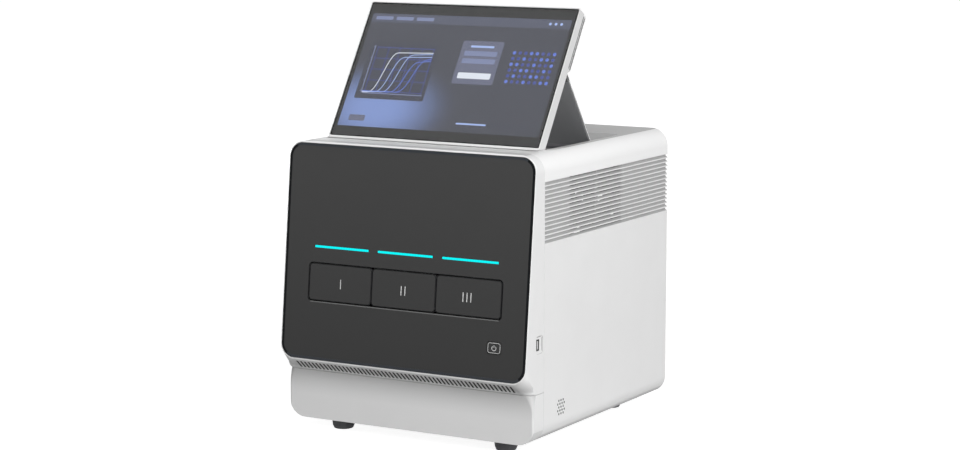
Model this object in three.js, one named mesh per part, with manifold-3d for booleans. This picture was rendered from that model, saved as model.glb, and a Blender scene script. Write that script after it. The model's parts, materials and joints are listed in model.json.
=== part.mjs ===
// Benchtop real-time PCR system with three module drawers and a tilting display, in millimetres.
import * as THREE from 'three';
import { mergeVertices } from 'three/addons/utils/BufferGeometryUtils.js';
import Module from 'manifold-3d';

const wasm = await Module();
wasm.setup();

const degree = Math.PI / 180;
const quarterTurn = Math.PI / 2;

// Fits shared by all pieces
const clearance = 0.3;
const runningGap = 0.4;
const seamGap = 0.5;
const overrun = 2;

// Facets of round shapes
const arcSteps = 6;
const smallArcSteps = 3;
const rodSides = 16;
const smallSides = 6;

// Casing, measured from the seam between the front shells and the main cover
const bodyHeight = 357.6;
const bodyDepth = 341;
const sideMargin = 39;
const bodyCorner = 22.9;
const coverWall = 4;
const coverLip = 35;
const basePlateThickness = 2.5;
const basePlateSetback = 1;
const rearPanelThickness = 2;
const rearPanelInset = 6;

// Recess in the cover's top, under the display
const recessDepth = 15;
const recessMargin = 23.7;
const recessFront = 26;
const recessRear = 246;
const recessCorner = 6;
const recessWall = 2.5;

// Side louvres
const louvreCount = 14;
const louvreDrop = 33.8;
const louvrePitch = 5.5;
const louvreLand = 1.6;
const louvreDepth = 2.8;
const louvreMargin = 1;
const louvreSlotHeight = 2.4;
const louvreSlotStart = 69.7;
const louvreSlotEnd = 211.6;
const louvreRibWidth = 3;

// Front panel: a flat plate that leans back inside a white rim
const panelLean = 5.9 * degree;
const panelLength = 275;
const panelTopForward = 18.3;
const panelTopDrop = 2.4;
const panelCorner = 18.5;
const panelThickness = 3;
const panelRecess = 0.4;
const rimSide = 1.4;
const rimTop = 1.9;
const rimBottom = 2.1;
const rimEdge = 0.8;
const bezelWall = 3;
const ledgeWidth = 4.5;
const ledgeThickness = 3;

// Vented cove under the front panel, and the lower front cover below it
const coveHeight = 64;
const coveForward = 28;
const coveCorner = 12;
const coveRingCount = 6;
const ventMargin = 20;
const ventPitch = 5.8;
const ventWidth = 2.6;
const ventLength = 15;
const lowerForward = 25.5;
const lowerWall = 3;
const lowerEdge = 3;
const lowerBlendHeight = 24;
const lowerRingCount = 6;

// Modules: three alike, side by side, with heights counted from the panel's lower edge
const modulePitch = 94;
const moduleSigns = [-1, 0, 1];
const drawerRise = 74.643;
const drawerHeight = 49;
const drawerTravel = 120;
const drawerGap = 1.2;
const drawerCorner = 4.5;
const drawerFrontBossInset = 6;
const lightBarGap = 13.8;
const lightBarHeight = 2.7;
const lightBarRise = 21.6;
const lightBarCorner = 0.7;
const lightBarFlange = 2;
const lightBarFlangeThickness = 1.5;

// Slide bed that carries the modules
const bedDrop = 6.3;
const bedMargin = 5;
const bedFront = -8;
const bedTail = 5;
const bedSheet = 3;
const railWidth = 4;
const railHeight = 7.2;
const railInset = 9;
const railTail = 10;
const guideWall = 3;
const guideHeight = 23;

// Drawer trays
const trayWall = 2;
const trayFront = -24;
const trayHeight = 25.5;
const nutRadius = 8;
const nutLength = 10;

// Lead screws and their motors
const screwRadius = 3;
const screwRise = 19;
const screwTipGap = 4;
const motorSize = 28;
const motorLength = 30;
const motorGap = 15;
const motorBore = 8;

// Heat sinks and sample blocks
const sinkSideGap = 7.1;
const sinkMargin = 3;
const sinkHeight = 17.2;
const sinkBase = 4;
const finCount = 12;
const finThickness = 2;
const blockSideGap = 3.1;
const blockFront = 11;
const blockLength = 44;
const blockHeight = 17.8;
const wellPitch = 9;
const wellTopRadius = 2.75;
const wellTipRadius = 1.2;
const wellDepth = 14;
const wellWall = 1.5;

// Heated lids and the bridge that guides them
const lidGap = 0.8;
const lidSideGap = 5;
const lidMargin = 7;
const lidHeight = 13;
const lidSlotWidth = 3;
const lidSlotMargin = 11;
const lidPinRadius = 3;
const lidPinInset = 5;
const lidPinProud = 5.9;
const bridgeRise = 86;
const bridgeSheet = 3;
const bridgeMargin = 4;
const bridgeLegWidth = 3;
const bridgeWindowMargin = 2.25;

// Scanning optics above the bridge
const opticsRailWidth = 10;
const opticsRailHeight = 12;
const opticsRailRise = 23;
const opticsPostWidth = 10;
const opticsHeadWidth = 36;
const opticsHeadLength = 26;
const opticsHeadCap = 5;
const opticsHeadRise = 4;
const lensRadius = 6;
const lensHeight = 2.5;

// Power supply and control board under the slide bed
const supplyMargin = 13;
const supplyCentreGap = 20;
const supplyLength = 190;
const supplyHeight = 50;
const supplyFront = 60;
const supplySlotCount = 8;
const supplySlotWidth = 3;
const supplySlotPitch = 12;
const supplySlotDepth = 3;
const supplySlotMargin = 10;
const boardMargin = 13;
const boardCentreGap = 10;
const boardLength = 150;
const boardThickness = 1.6;
const boardRise = 8;
const boardFront = 80;
const standoffRadius = 3.5;
const standoffInset = 8;
const chipSize = 34;
const chipHeight = 9;
const connectorWidth = 14;
const connectorLength = 9;
const connectorHeight = 11;
const connectorCount = 4;
const connectorPitch = 24;

// Rear fans
const fanSize = 92;
const fanDepth = 25;
const fanDrop = 125.6;
const fanSpacing = 150;
const fanWall = 3;
const fanHubRadius = 17;
const fanHubDepth = 20;
const fanAxleRadius = 3;
const fanSpokeWidth = 4;
const fanSpokeDepth = 4;
const bladeCount = 7;
const bladeThickness = 1.6;
const bladeChord = 20;
const bladeTipGap = 1.5;
const bladePitch = 40 * degree;
const grilleSlotHeight = 3.6;
const grilleSlotPitch = 7.4;

// Mains inlet, mains switch and data socket on the rear panel
const socketHeight = 62;
const inletInset = 68;
const inletFlangeMargin = 4;
const inletFlangeThickness = 2.5;
const inletWall = 1.75;
const inletTerminalDepth = 6;
const inletCavityWidth = 24.5;
const inletCavityHeight = 16.8;
const inletCavityDepth = 16;
const inletCorner = 3;
const inletPinThickness = 2;
const inletPinWidth = 4;
const inletPinLength = 12;
const inletPinSpacing = 14;
const inletEarthRise = 4;
const inletPinDrop = 1;
const switchInset = 110;
const switchWidth = 15;
const switchHeight = 22;
const switchWall = 1.5;
const switchDepth = 16;
const rockerThickness = 5;
const rockerChamfer = 1;
const rockerDip = 0.7;
const rockerTilt = 7 * degree;
const dataInset = 110;
const dataWall = 2;
const dataTail = 7;
const dataOpeningWidth = 12;
const dataOpeningHeight = 8.4;
const dataOpeningDepth = 13;
const dataProud = 1;

// Port on the bezel's right side
const portForward = 14.1;
const portHeight = 125.3;
const portSlotWidth = 5.6;
const portSlotLength = 13.1;
const portShellWall = 0.6;
const portDepth = 16;
const portFlange = 3;
const portFlangeThickness = 1.5;
const portTongue = 1.9;
const portTongueInset = 2.5;
const portRecessDepth = 1;
const portRecessLength = 22.5;
const portRecessWidth = 17;
const portRecessForward = 11.5;
const portRecessCorner = 4;

// Power button in the front panel
const buttonInset = 45;
const buttonRise = 40.343;
const buttonWidth = 20;
const buttonLength = 15;
const buttonCorner = 4;
const buttonStem = 6;

// Speaker behind a pattern of holes low on the right side
const speakerDepth = 45;
const speakerHeight = 37.5;
const speakerRadius = 13;
const speakerThickness = 9;
const speakerHoleRadius = 0.8;
const speakerHolePitch = 5.6;
const speakerRowPitch = 4.2;
const speakerRowCounts = [3, 4, 3, 4, 3];

// Feet
const footHeight = 16.9;
const footRadius = 15.8;
const footWaistRadius = 14.4;
const footSoleRadius = 12.4;
const footCollarRadius = 8;
const footStudRadius = 4;
const footStudProud = 2.2;
const footInset = 59;
const footFront = 10.8;
const footRearInset = 47.1;
const footWaistShare = 0.72;

// Display, in a frame whose origin is its hinge axis
const displayLean = 32.6 * degree;
const hingeInset = 12.3;
const hingeRise = 5.4;
const glassSideGap = 2.85;
const glassHeight = 195.5;
const glassThickness = 1.5;
const glassForward = 11.4;
const glassRise = 7.9;
const frameRim = 1.5;
const frameChin = 3.5;
const frameLip = 0.3;
const frameDepth = 14;
const frameCorner = 3;
const frameBack = 2;
const screenSideMargin = 2.95;
const screenMarginLow = 5;
const screenMarginHigh = 5;
const screenThickness = 5.6;
const backCoverDepth = 7.2;
const backCoverGap = 0.9;
const backCoverTopInset = 0.8;
const backCoverSideInset = 0.8;
const backCoverEdge = 2;

// Display hinge at its foot, in two brackets
const bracketInset = 56.3;
const bracketWidth = 24;
const bracketEar = 4;
const bracketEarRadius = 4;
const bracketBase = 1.4;
const bracketLength = 16;
const hingePinRadius = 1.5;
const knuckleRadius = 3.3;
const knuckleWebDepth = 6;

// Stand: a plate hinged to the display's back, with a round rubber foot in the recess
const pivotBack = 6.5;
const pivotRise = 118.1;
const standSideGap = 3.8;
const standThickness = 5;
const standPinEnd = 1;
const standPlateStart = 8;
const lugInset = 51.5;
const lugGap = 2;
const lugWidth = 18;
const lugHeight = 10;
const lugProud = 3.9;
const standTipGap = 2.2;

// Values that follow from those above
const moduleSpan = moduleSigns.length * modulePitch;
const bodyWidth = moduleSpan + 2 * sideMargin;
const halfWidth = bodyWidth / 2;
const panelTopHeight = bodyHeight - panelTopDrop;
const panelFootHeight = panelTopHeight - panelLength * Math.cos(panelLean);
const drawerBottom = panelFootHeight + drawerRise;
const drawerTop = drawerBottom + drawerHeight;
const lightBarTop = drawerTop + lightBarRise;
const buttonHeight = panelFootHeight + buttonRise;
const buttonX = halfWidth - rimSide - buttonInset;
const lightBarWidth = modulePitch - lightBarGap;
const rearReach = seamGap + bodyDepth;
const recessFloor = bodyHeight - recessDepth;
const recessWidth = bodyWidth - 2 * recessMargin;
const bedHeight = drawerBottom - bedDrop;
const bedWidth = moduleSpan + 2 * bedMargin;
const basePlateTop = coverWall + clearance + basePlateThickness;
const bedTop = bedHeight + bedSheet;
const trayHalfWidth = modulePitch / 2 - guideWall / 2 - runningGap;
const trayBottom = bedTop + railHeight + clearance;
const trayFloor = trayBottom + trayWall;
const sinkWidth = 2 * (trayHalfWidth - trayWall - sinkSideGap);
const sinkFront = blockFront - sinkMargin;
const sinkRear = blockFront + blockLength + sinkMargin;
const sinkTop = trayFloor + clearance + sinkHeight;
const blockWidth = 2 * (trayHalfWidth - trayWall - blockSideGap);
const blockTop = sinkTop + clearance + blockHeight;
const blockCentre = blockFront + blockLength / 2;
const wellMargin = wellTopRadius + wellWall;
const wellColumns = Math.floor((blockWidth - 2 * wellMargin) / wellPitch) + 1;
const wellRows = Math.floor((blockLength - 2 * wellMargin) / wellPitch) + 1;
const lidWidth = modulePitch - 2 * lidSideGap;
const lidFront = blockFront - lidMargin;
const lidRear = blockFront + blockLength + lidMargin;
const lidBottom = blockTop + lidGap;
const screwHeight = bedTop + screwRise;
const screwFront = sinkRear + screwTipGap;
const trayRear = screwFront + drawerTravel + nutLength - overrun;
const railRear = trayRear + railTail;
const motorFront = trayRear + motorGap;
const motorRear = motorFront + motorLength;
const bedRear = motorRear + bedTail;
const bridgeTop = bedTop + bridgeRise;
const rearPanelFace = rearReach - rearPanelInset;
const fanHeight = bodyHeight - fanDrop;
const fanBore = fanSize / 2 - fanWall;
const grilleRows = Math.floor((fanBore - grilleSlotHeight) / grilleSlotPitch);
const inletX = inletInset - halfWidth;
const switchX = switchInset - halfWidth;
const dataX = halfWidth - dataInset;
const inletBodyWidth = inletCavityWidth + 2 * inletWall;
const inletBodyHeight = inletCavityHeight + 2 * inletWall;
const inletFlangeWidth = inletBodyWidth + 2 * inletFlangeMargin;
const inletFlangeHeight = inletBodyHeight + 2 * inletFlangeMargin;
const dataWidth = dataOpeningWidth + 2 * dataWall;
const dataHeight = dataOpeningHeight + 2 * dataWall;
const footX = halfWidth - footInset;
const footRear = rearReach - footRearInset;
const hingeDepth = recessFront + hingeInset;
const hingeHeight = recessFloor + hingeRise;
const bracketX = recessWidth / 2 - bracketInset;
const glassWidth = recessWidth - 2 * glassSideGap;
const screenWidth = glassWidth - 2 * screenSideMargin;
const frameBackFace = frameDepth - frameLip - glassForward;
const standWidth = recessWidth - 2 * standSideGap;
const standBarrelRadius = pivotBack - frameBackFace - clearance;
const lugX = standWidth / 2 - lugInset;
const standBarrelHalf = lugX - lugWidth / 2 - lugGap;
const backCoverStart = pivotRise + lugHeight / 2 + backCoverGap;
const armLength = Math.hypot(pivotBack, pivotRise);
const armAngle = Math.atan2(pivotRise, pivotBack) - displayLean;
const pivotDepth = hingeDepth + armLength * Math.cos(armAngle);
const pivotHeight = hingeHeight + armLength * Math.sin(armAngle);

// Materials by the finish they stand for
function finish(color, roughness, metalness) {
  return new THREE.MeshStandardMaterial({ color, roughness, metalness });
}
const whiteShell = finish(0xe6e6e6, 0.5, 0);
const darkPanel = finish(0x3c3c3c, 0.35, 0);
const darkPlastic = finish(0x2c2c2e, 0.55, 0);
const greyPlastic = finish(0x4a4a4c, 0.6, 0);
const softRubber = finish(0x3f3f41, 0.85, 0);
const lightGuide = finish(0x00e6f0, 0.4, 0);
const sheetSteel = finish(0x9a9da0, 0.4, 0.9);
const castAluminium = finish(0xb9bcc0, 0.35, 0.9);
const polishedSteel = finish(0xc8cacc, 0.2, 1);
const circuitGreen = finish(0x1f5a3a, 0.6, 0);
const coverGlass = finish(0x24262b, 0.08, 0);
const screenFilm = finish(0x5f6378, 0.3, 0);

// Closed geometry to a solid that can be cut and joined
function solid(geometry) {
  geometry.deleteAttribute('normal');
  geometry.deleteAttribute('uv');
  const merged = mergeVertices(geometry);
  return new wasm.Manifold(new wasm.Mesh({
    numProp: 3,
    vertProperties: new Float32Array(merged.attributes.position.array),
    triVerts: new Uint32Array(merged.index.array),
  }));
}

// A named mesh of a solid, placed in a group
function addPiece(group, name, shape, material) {
  const mesh = shape.getMesh();
  const geometry = new THREE.BufferGeometry();
  geometry.setAttribute('position', new THREE.Float32BufferAttribute(mesh.vertProperties, mesh.numProp));
  geometry.setIndex(new THREE.Uint32BufferAttribute(mesh.triVerts, 1));
  geometry.computeVertexNormals();
  const piece = new THREE.Mesh(geometry, material);
  piece.name = name;
  group.add(piece);
}

function joined(shapes) {
  return shapes.reduce((whole, shape) => whole.add(shape));
}

// Box between low and high values on each axis
function box(left, right, front, back, low, high) {
  const geometry = new THREE.BoxGeometry(right - left, back - front, high - low);
  geometry.translate((left + right) / 2, (front + back) / 2, (low + high) / 2);
  return solid(geometry);
}

function vector(x, y, z) {
  return new THREE.Vector3(x, y, z);
}

// Directions of an outline's two axes and of its extrusion, for each axis that it can run along
const prismFrames = {
  x: [vector(0, 1, 0), vector(0, 0, 1), vector(1, 0, 0)],
  y: [vector(1, 0, 0), vector(0, 0, 1), vector(0, -1, 0)],
  z: [vector(1, 0, 0), vector(0, 1, 0), vector(0, 0, 1)],
};

// Solid with one outline from low to high along an axis
function prism(axis, outline, low, high) {
  const depth = high - low;
  const geometry = new THREE.ExtrudeGeometry(new THREE.Shape(outline), { depth, bevelEnabled: false });
  const frame = new THREE.Matrix4().makeBasis(...prismFrames[axis]);
  geometry.applyMatrix4(frame);
  const start = axis === 'y' ? high : low;
  geometry.translate(axis === 'x' ? start : 0, axis === 'y' ? start : 0, axis === 'z' ? start : 0);
  return solid(geometry);
}

// Points of a rectangle with rounded lower and upper corners
function roundedRectangle(
  left, right, bottom, top, lowCorner, highCorner = lowCorner, steps = smallArcSteps,
) {
  const path = new THREE.Path();
  path.absarc(left + lowCorner, bottom + lowCorner, lowCorner, Math.PI, 3 * quarterTurn);
  path.absarc(right - lowCorner, bottom + lowCorner, lowCorner, 3 * quarterTurn, 4 * quarterTurn);
  path.absarc(right - highCorner, top - highCorner, highCorner, 0, quarterTurn);
  path.absarc(left + highCorner, top - highCorner, highCorner, quarterTurn, Math.PI);
  return path.getPoints(steps);
}

function circle(radius, sides, across, up) {
  return Array.from({ length: sides }, (_, side) => {
    const angle = (side + 0.5) * 2 * Math.PI / sides;
    return new THREE.Vector2(across + radius * Math.cos(angle), up + radius * Math.sin(angle));
  });
}

// Round bar along an axis through a point of the other two
function rod(axis, radius, low, high, across, up, sides = rodSides) {
  return prism(axis, circle(radius, sides, across, up), low, high);
}

// Twice the signed area of a flat outline
function turning(flat) {
  return flat.reduce((sum, point, index) => {
    const next = flat[(index + 1) % flat.length];
    return sum + point.x * next.y - next.x * point.y;
  }, 0);
}

// Triangles of a flat end, turned like the outline itself; the end is looked at along Y or Z
function capTriangles(ring, alongZ) {
  const flat = ring.map((point) => new THREE.Vector2(point.x, alongZ ? point.y : point.z));
  const outlineTurn = Math.sign(turning(flat));
  return THREE.ShapeUtils.triangulateShape(flat, []).map((face) => {
    const faceTurn = Math.sign(turning(face.map((index) => flat[index])));
    return faceTurn === outlineTurn ? face : [face[0], face[2], face[1]];
  });
}

// Solid stretched over rings of equal point count, closed by flat ends
function loft(rings, alongZ = false) {
  const count = rings[0].length;
  const last = (rings.length - 1) * count;
  const triangles = [];
  for (let start = 0; start < last; start += count) {
    for (let index = 0; index < count; index += 1) {
      const near = start + index;
      const side = start + (index + 1) % count;
      triangles.push([near, side, side + count], [near, side + count, near + count]);
    }
  }
  for (const [a, b, c] of capTriangles(rings[0], alongZ)) triangles.push([a, c, b]);
  for (const face of capTriangles(rings.at(-1), alongZ)) triangles.push(face.map((index) => index + last));
  const points = rings.flat();
  const volume = triangles.reduce((sum, [a, b, c]) => (
    sum + points[a].dot(points[b].clone().cross(points[c]))), 0);
  const faces = volume > 0 ? triangles : triangles.map(([a, b, c]) => [a, c, b]);
  const geometry = new THREE.BufferGeometry().setFromPoints(points);
  geometry.setIndex(faces.flat());
  return solid(geometry);
}

// Ring between a low and a high point of the Y-Z plane
function tiltedRing(low, high, half, lowCorner, highCorner, steps = arcSteps) {
  const length = Math.hypot(high[0] - low[0], high[1] - low[1]);
  return roundedRectangle(-half, half, 0, length, lowCorner, highCorner, steps).map((point) => {
    const share = point.y / length;
    return vector(point.x, low[0] + (high[0] - low[0]) * share, low[1] + (high[1] - low[1]) * share);
  });
}

// Depth and height of a point on the leaning front, by its way down the panel and its way behind it
function onPanel(down, behind) {
  const depth = -panelTopForward - down * Math.sin(panelLean) + behind * Math.cos(panelLean);
  const height = panelTopHeight - down * Math.cos(panelLean) - behind * Math.sin(panelLean);
  return [depth, height];
}

function downPanel(height) {
  return (panelTopHeight - height) / Math.cos(panelLean);
}

// Ring parallel to the front panel, larger than it by the given margins
function panelRing(behind, side, top, bottom, corner) {
  const half = halfWidth - rimSide + side;
  return tiltedRing(onPanel(panelLength + bottom, behind), onPanel(-top, behind), half, corner, corner);
}

function bodyOutline(inset) {
  const half = halfWidth - inset;
  const corner = bodyCorner - inset;
  return roundedRectangle(-half, half, inset, bodyHeight - inset, corner, corner, arcSteps);
}

// Main cover: inverted U sleeve with lips below, recess above and louvres on both sides
function mainCover() {
  const outer = prism('y', bodyOutline(0), seamGap, rearReach);
  const inner = prism('y', bodyOutline(coverWall), seamGap - overrun, rearReach + overrun);
  const mouth = halfWidth - coverLip;
  const floor = box(-mouth, mouth, seamGap - overrun, rearReach + overrun, -overrun, coverWall + overrun);
  const halfRecess = recessWidth / 2;
  const halfPan = halfRecess + recessWall;
  const panTop = bodyHeight - coverWall / 2;
  const pan = box(
    -halfPan, halfPan, recessFront - recessWall, recessRear + recessWall, recessFloor - recessWall, panTop,
  );
  const recess = prism(
    'z', roundedRectangle(-halfRecess, halfRecess, recessFront, recessRear, recessCorner),
    recessFloor, bodyHeight + overrun,
  );
  const cuts = [-1, 1].flatMap((side) => louvres(side));
  return outer.subtract(inner).subtract(floor).add(pan).subtract(recess)
    .subtract(joined(cuts)).subtract(speakerHoles());
}

// Cuts of one side's louvres: a long groove each, and two slots that rise inwards through the wall
function louvres(side) {
  const middle = (louvreSlotStart + louvreSlotEnd) / 2;
  const ribHalf = louvreRibWidth / 2;
  const spans = [[louvreSlotStart, middle - ribHalf], [middle + ribHalf, louvreSlotEnd]];
  const inside = coverWall + overrun;
  return Array.from({ length: louvreCount }, (_, index) => {
    const top = bodyHeight - louvreDrop - index * louvrePitch;
    const foot = top - louvrePitch + louvreLand;
    const sill = top - louvreSlotHeight;
    const rise = (inside - louvreDepth) * (sill - foot) / louvreDepth;
    const outline = (profile) => profile.map(([depth, up]) => (
      new THREE.Vector2(side * (halfWidth - depth), up)
    ));
    const groove = outline([
      [-overrun, top], [louvreDepth, top], [louvreDepth, sill], [0, foot], [-overrun, foot],
    ]);
    const slot = outline([
      [louvreDepth, sill], [inside, sill + rise], [inside, top + rise], [louvreDepth, top],
      [louvreDepth / 2, (sill + top) / 2],
    ]);
    return joined([
      prism('y', groove, seamGap + louvreMargin, rearReach + overrun),
      ...spans.map(([start, end]) => prism('y', slot, start, end)),
    ]);
  });
}

function speakerHoles() {
  const topRow = speakerHeight + speakerRowPitch * (speakerRowCounts.length - 1) / 2;
  return joined(speakerRowCounts.flatMap((count, row) => (
    Array.from({ length: count }, (_, index) => {
      const depth = speakerDepth + (index - (count - 1) / 2) * speakerHolePitch;
      const height = topRow - row * speakerRowPitch;
      return rod(
        'x', speakerHoleRadius, halfWidth - coverWall - overrun, halfWidth + overrun,
        depth, height, smallSides,
      );
    })
  )));
}

// Front bezel: the white rim, its sides back to the seam, and the vented cove below
function frontBezel() {
  const corner = panelCorner + rimSide;
  const rings = [
    panelRing(0, rimSide - rimEdge, rimTop - rimEdge, rimBottom - rimEdge, corner - rimEdge),
    panelRing(rimEdge, rimSide, rimTop, rimBottom, corner),
  ];
  for (let index = 0; index < coveRingCount; index += 1) {
    const angle = quarterTurn * index / (coveRingCount - 1);
    const low = coveCorner * (1 - Math.cos(angle)) - coveForward;
    const lowCorner = coveCorner * (1 - Math.sin(angle)) + clearance;
    const high = low + (coveForward - panelTopForward + rimEdge * 2);
    rings.push(tiltedRing([low, coveHeight], [high, bodyHeight], halfWidth, lowCorner, bodyCorner));
  }
  rings.push(tiltedRing([0, coveHeight], [0, bodyHeight], halfWidth, clearance, bodyCorner));
  const outer = loft(rings);
  const seat = panelRecess + panelThickness + clearance;
  const pocket = loft([-overrun, seat].map((behind) => (
    panelRing(behind, clearance, clearance, clearance, panelCorner + clearance))));
  const ledgeBack = seat + ledgeThickness;
  const window = loft([0, ledgeBack + overrun].map((behind) => (
    panelRing(behind, -ledgeWidth, -ledgeWidth, -ledgeWidth, panelCorner - ledgeWidth))));
  const half = halfWidth - bezelWall;
  const high = bodyHeight - bezelWall;
  const floor = coveHeight + bezelWall;
  const innerCorner = bodyCorner - bezelWall;
  const lipFloor = onPanel(panelLength - rimBottom, ledgeBack);
  const hollow = loft([
    tiltedRing(lipFloor, onPanel(bezelWall, ledgeBack), half, innerCorner, innerCorner),
    tiltedRing([bezelWall - coveForward, floor], [0, high], half, innerCorner, innerCorner),
    tiltedRing([overrun, floor], [overrun, high], half, innerCorner, innerCorner),
  ]);
  return outer.subtract(pocket).subtract(window).subtract(hollow)
    .subtract(joined(coveVents())).subtract(portRecess()).subtract(portCutout());
}

// Slots through the cove's slope, side by side
function coveVents() {
  const [lipDepth, lipHeight] = onPanel(panelLength + rimBottom, rimEdge);
  const middleDepth = (lipDepth - coveForward) / 2;
  const middleHeight = (lipHeight + coveHeight) / 2;
  const slope = Math.atan2(lipHeight - coveHeight, -coveForward - lipDepth);
  const ventCount = Math.floor((bodyWidth - 2 * ventMargin - ventWidth) / ventPitch) + 1;
  return Array.from({ length: ventCount }, (_, index) => {
    const cut = new THREE.BoxGeometry(ventWidth, ventLength, 3 * bezelWall);
    cut.rotateX(-slope);
    cut.translate((index - (ventCount - 1) / 2) * ventPitch, middleDepth, middleHeight);
    return solid(cut);
  });
}

function portRecess() {
  const outline = roundedRectangle(
    -portRecessForward - portRecessWidth / 2, -portRecessForward + portRecessWidth / 2,
    portHeight - portRecessLength / 2, portHeight + portRecessLength / 2, portRecessCorner,
  );
  return prism('x', outline, halfWidth - portRecessDepth, halfWidth + overrun);
}

function portCutout() {
  const halfSlot = portSlotWidth / 2 + portShellWall + clearance;
  const halfLength = portSlotLength / 2 + portShellWall + clearance;
  return box(
    halfWidth - bezelWall - overrun, halfWidth + overrun, -portForward - halfSlot, -portForward + halfSlot,
    portHeight - halfLength, portHeight + halfLength,
  );
}

// Port: a thin metal shell with a tongue, and a flange behind the bezel's wall
function sidePort() {
  const halfSlot = portSlotWidth / 2;
  const halfLength = portSlotLength / 2;
  const face = halfWidth - portRecessDepth;
  const flangeFace = halfWidth - bezelWall - clearance;
  const back = face - portDepth;
  const bar = (margin, left, right) => box(
    left, right, -portForward - halfSlot - margin, -portForward + halfSlot + margin,
    portHeight - halfLength - margin, portHeight + halfLength + margin,
  );
  const shell = bar(portShellWall, back, face);
  const flange = bar(portFlange, flangeFace - portFlangeThickness, flangeFace);
  const hollow = bar(0, back + portFlangeThickness, face + overrun);
  const tongue = box(
    back, face - portTongueInset, -portForward - halfSlot + portShellWall,
    -portForward - halfSlot + portShellWall + portTongue,
    portHeight - halfLength + portTongueInset / 2, portHeight + halfLength - portTongueInset / 2,
  );
  return shell.add(flange).subtract(hollow).add(tongue);
}

// Plate parallel to the front panel, between two ways behind its face
function panelPlate(left, right, lowHeight, highHeight, corner, near, far) {
  const low = downPanel(lowHeight);
  const high = downPanel(highHeight);
  const centre = (left + right) / 2;
  const half = (right - left) / 2;
  return loft([near, far].map((behind) => (
    tiltedRing(onPanel(low, behind), onPanel(high, behind), half, corner, corner, smallArcSteps)
      .map((point) => point.add(vector(centre, 0, 0))))));
}

// Front panel with the drawer opening, the light slots and the button hole
function frontPanel() {
  const near = panelRecess;
  const far = panelRecess + panelThickness;
  const plate = loft([near, far].map((behind) => panelRing(behind, 0, 0, 0, panelCorner)));
  const through = [near - overrun, far + overrun];
  const halfOpening = moduleSigns.length * modulePitch / 2 + drawerGap / 2;
  const opening = panelPlate(
    -halfOpening, halfOpening, drawerBottom, drawerTop, drawerCorner + drawerGap / 2, ...through,
  );
  const slots = moduleSigns.map((sign) => lightOutline(sign, clearance, ...through));
  const hole = buttonOutline(runningGap, ...through);
  return plate.subtract(opening).subtract(joined(slots)).subtract(hole);
}

function lightOutline(sign, margin, near, far) {
  const centre = sign * modulePitch;
  const half = lightBarWidth / 2 + margin;
  const low = lightBarTop - lightBarHeight - margin;
  return panelPlate(
    centre - half, centre + half, low, lightBarTop + margin, lightBarCorner, near, far,
  );
}

// Light bar: a clear strip in its slot, with a flange behind the panel
function lightBar(sign) {
  const back = panelRecess + panelThickness;
  const strip = lightOutline(sign, 0, panelRecess, back + clearance + lightBarFlangeThickness);
  const flange = lightOutline(
    sign, lightBarFlange, back + clearance, back + clearance + lightBarFlangeThickness,
  );
  return strip.add(flange);
}

function buttonOutline(margin, near, far) {
  const half = buttonWidth / 2 + margin;
  const reach = buttonLength / 2 + margin;
  return panelPlate(
    buttonX - half, buttonX + half, buttonHeight - reach, buttonHeight + reach, buttonCorner, near, far,
  );
}

function powerButton() {
  return buttonOutline(0, panelRecess, panelRecess + panelThickness + buttonStem);
}

// Lower front cover: a shallow shell that carries the cove's curve down to its flat face
function lowerFrontCover() {
  const top = coveHeight - runningGap;
  const outline = (inset, forward, corner) => {
    const half = halfWidth - inset;
    const back = inset > 0 ? overrun : 0;
    const centre = corner - forward + inset;
    const path = new THREE.Path();
    path.absarc(corner - half, centre, corner, Math.PI, 3 * quarterTurn);
    path.absarc(half - corner, centre, corner, 3 * quarterTurn, 4 * quarterTurn);
    return [new THREE.Vector2(-half, back), ...path.getPoints(arcSteps), new THREE.Vector2(half, back)];
  };
  const shell = (inset, high) => {
    const levels = Array.from({ length: lowerRingCount }, (_, index) => index / (lowerRingCount - 1));
    const rings = levels.map((share) => {
      const blend = (1 - share) ** 2;
      const forward = lowerForward + (coveForward - lowerForward) * blend;
      const corner = lowerEdge + (coveCorner - lowerEdge) * blend;
      return outline(inset, forward, corner)
        .map((point) => vector(point.x, point.y, high - share * lowerBlendHeight));
    });
    rings.push(outline(inset, lowerForward, lowerEdge).map((point) => vector(point.x, point.y, -overrun)));
    return loft(rings, true).intersect(prism('y', bodyOutline(inset), -bodyDepth, overrun));
  };
  return shell(0, top).subtract(shell(lowerWall, top - lowerWall));
}

// Base plate on the cover's lips, with a hole for each foot's stud
function basePlate() {
  const half = halfWidth - bodyCorner;
  const low = coverWall + clearance;
  const back = rearPanelFace - rearPanelThickness - clearance;
  const plate = box(-half, half, basePlateSetback, back, low, basePlateTop);
  const holes = footPlaces().map(([x, y]) => (
    rod('z', footStudRadius + clearance, low - overrun, basePlateTop + overrun, x, y)));
  return plate.subtract(joined(holes));
}

function footPlaces() {
  return [[-footX, footFront], [footX, footFront], [-footX, footRear], [footX, footRear]];
}

// Foot: a tapered rubber body under the casing, with a collar and a stud into the base plate
function foot(x, y) {
  const studTop = basePlateTop + footStudProud;
  const profile = [
    [0, -footHeight], [footSoleRadius, -footHeight], [footWaistRadius, -footHeight * footWaistShare],
    [footRadius, -clearance], [footCollarRadius, -clearance], [footCollarRadius, coverWall],
    [footStudRadius, coverWall], [footStudRadius, studTop], [0, studTop],
  ];
  const geometry = new THREE.LatheGeometry(profile.map(([r, z]) => new THREE.Vector2(r, z)), rodSides);
  geometry.rotateX(quarterTurn);
  geometry.translate(x, y, 0);
  return solid(geometry);
}

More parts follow.
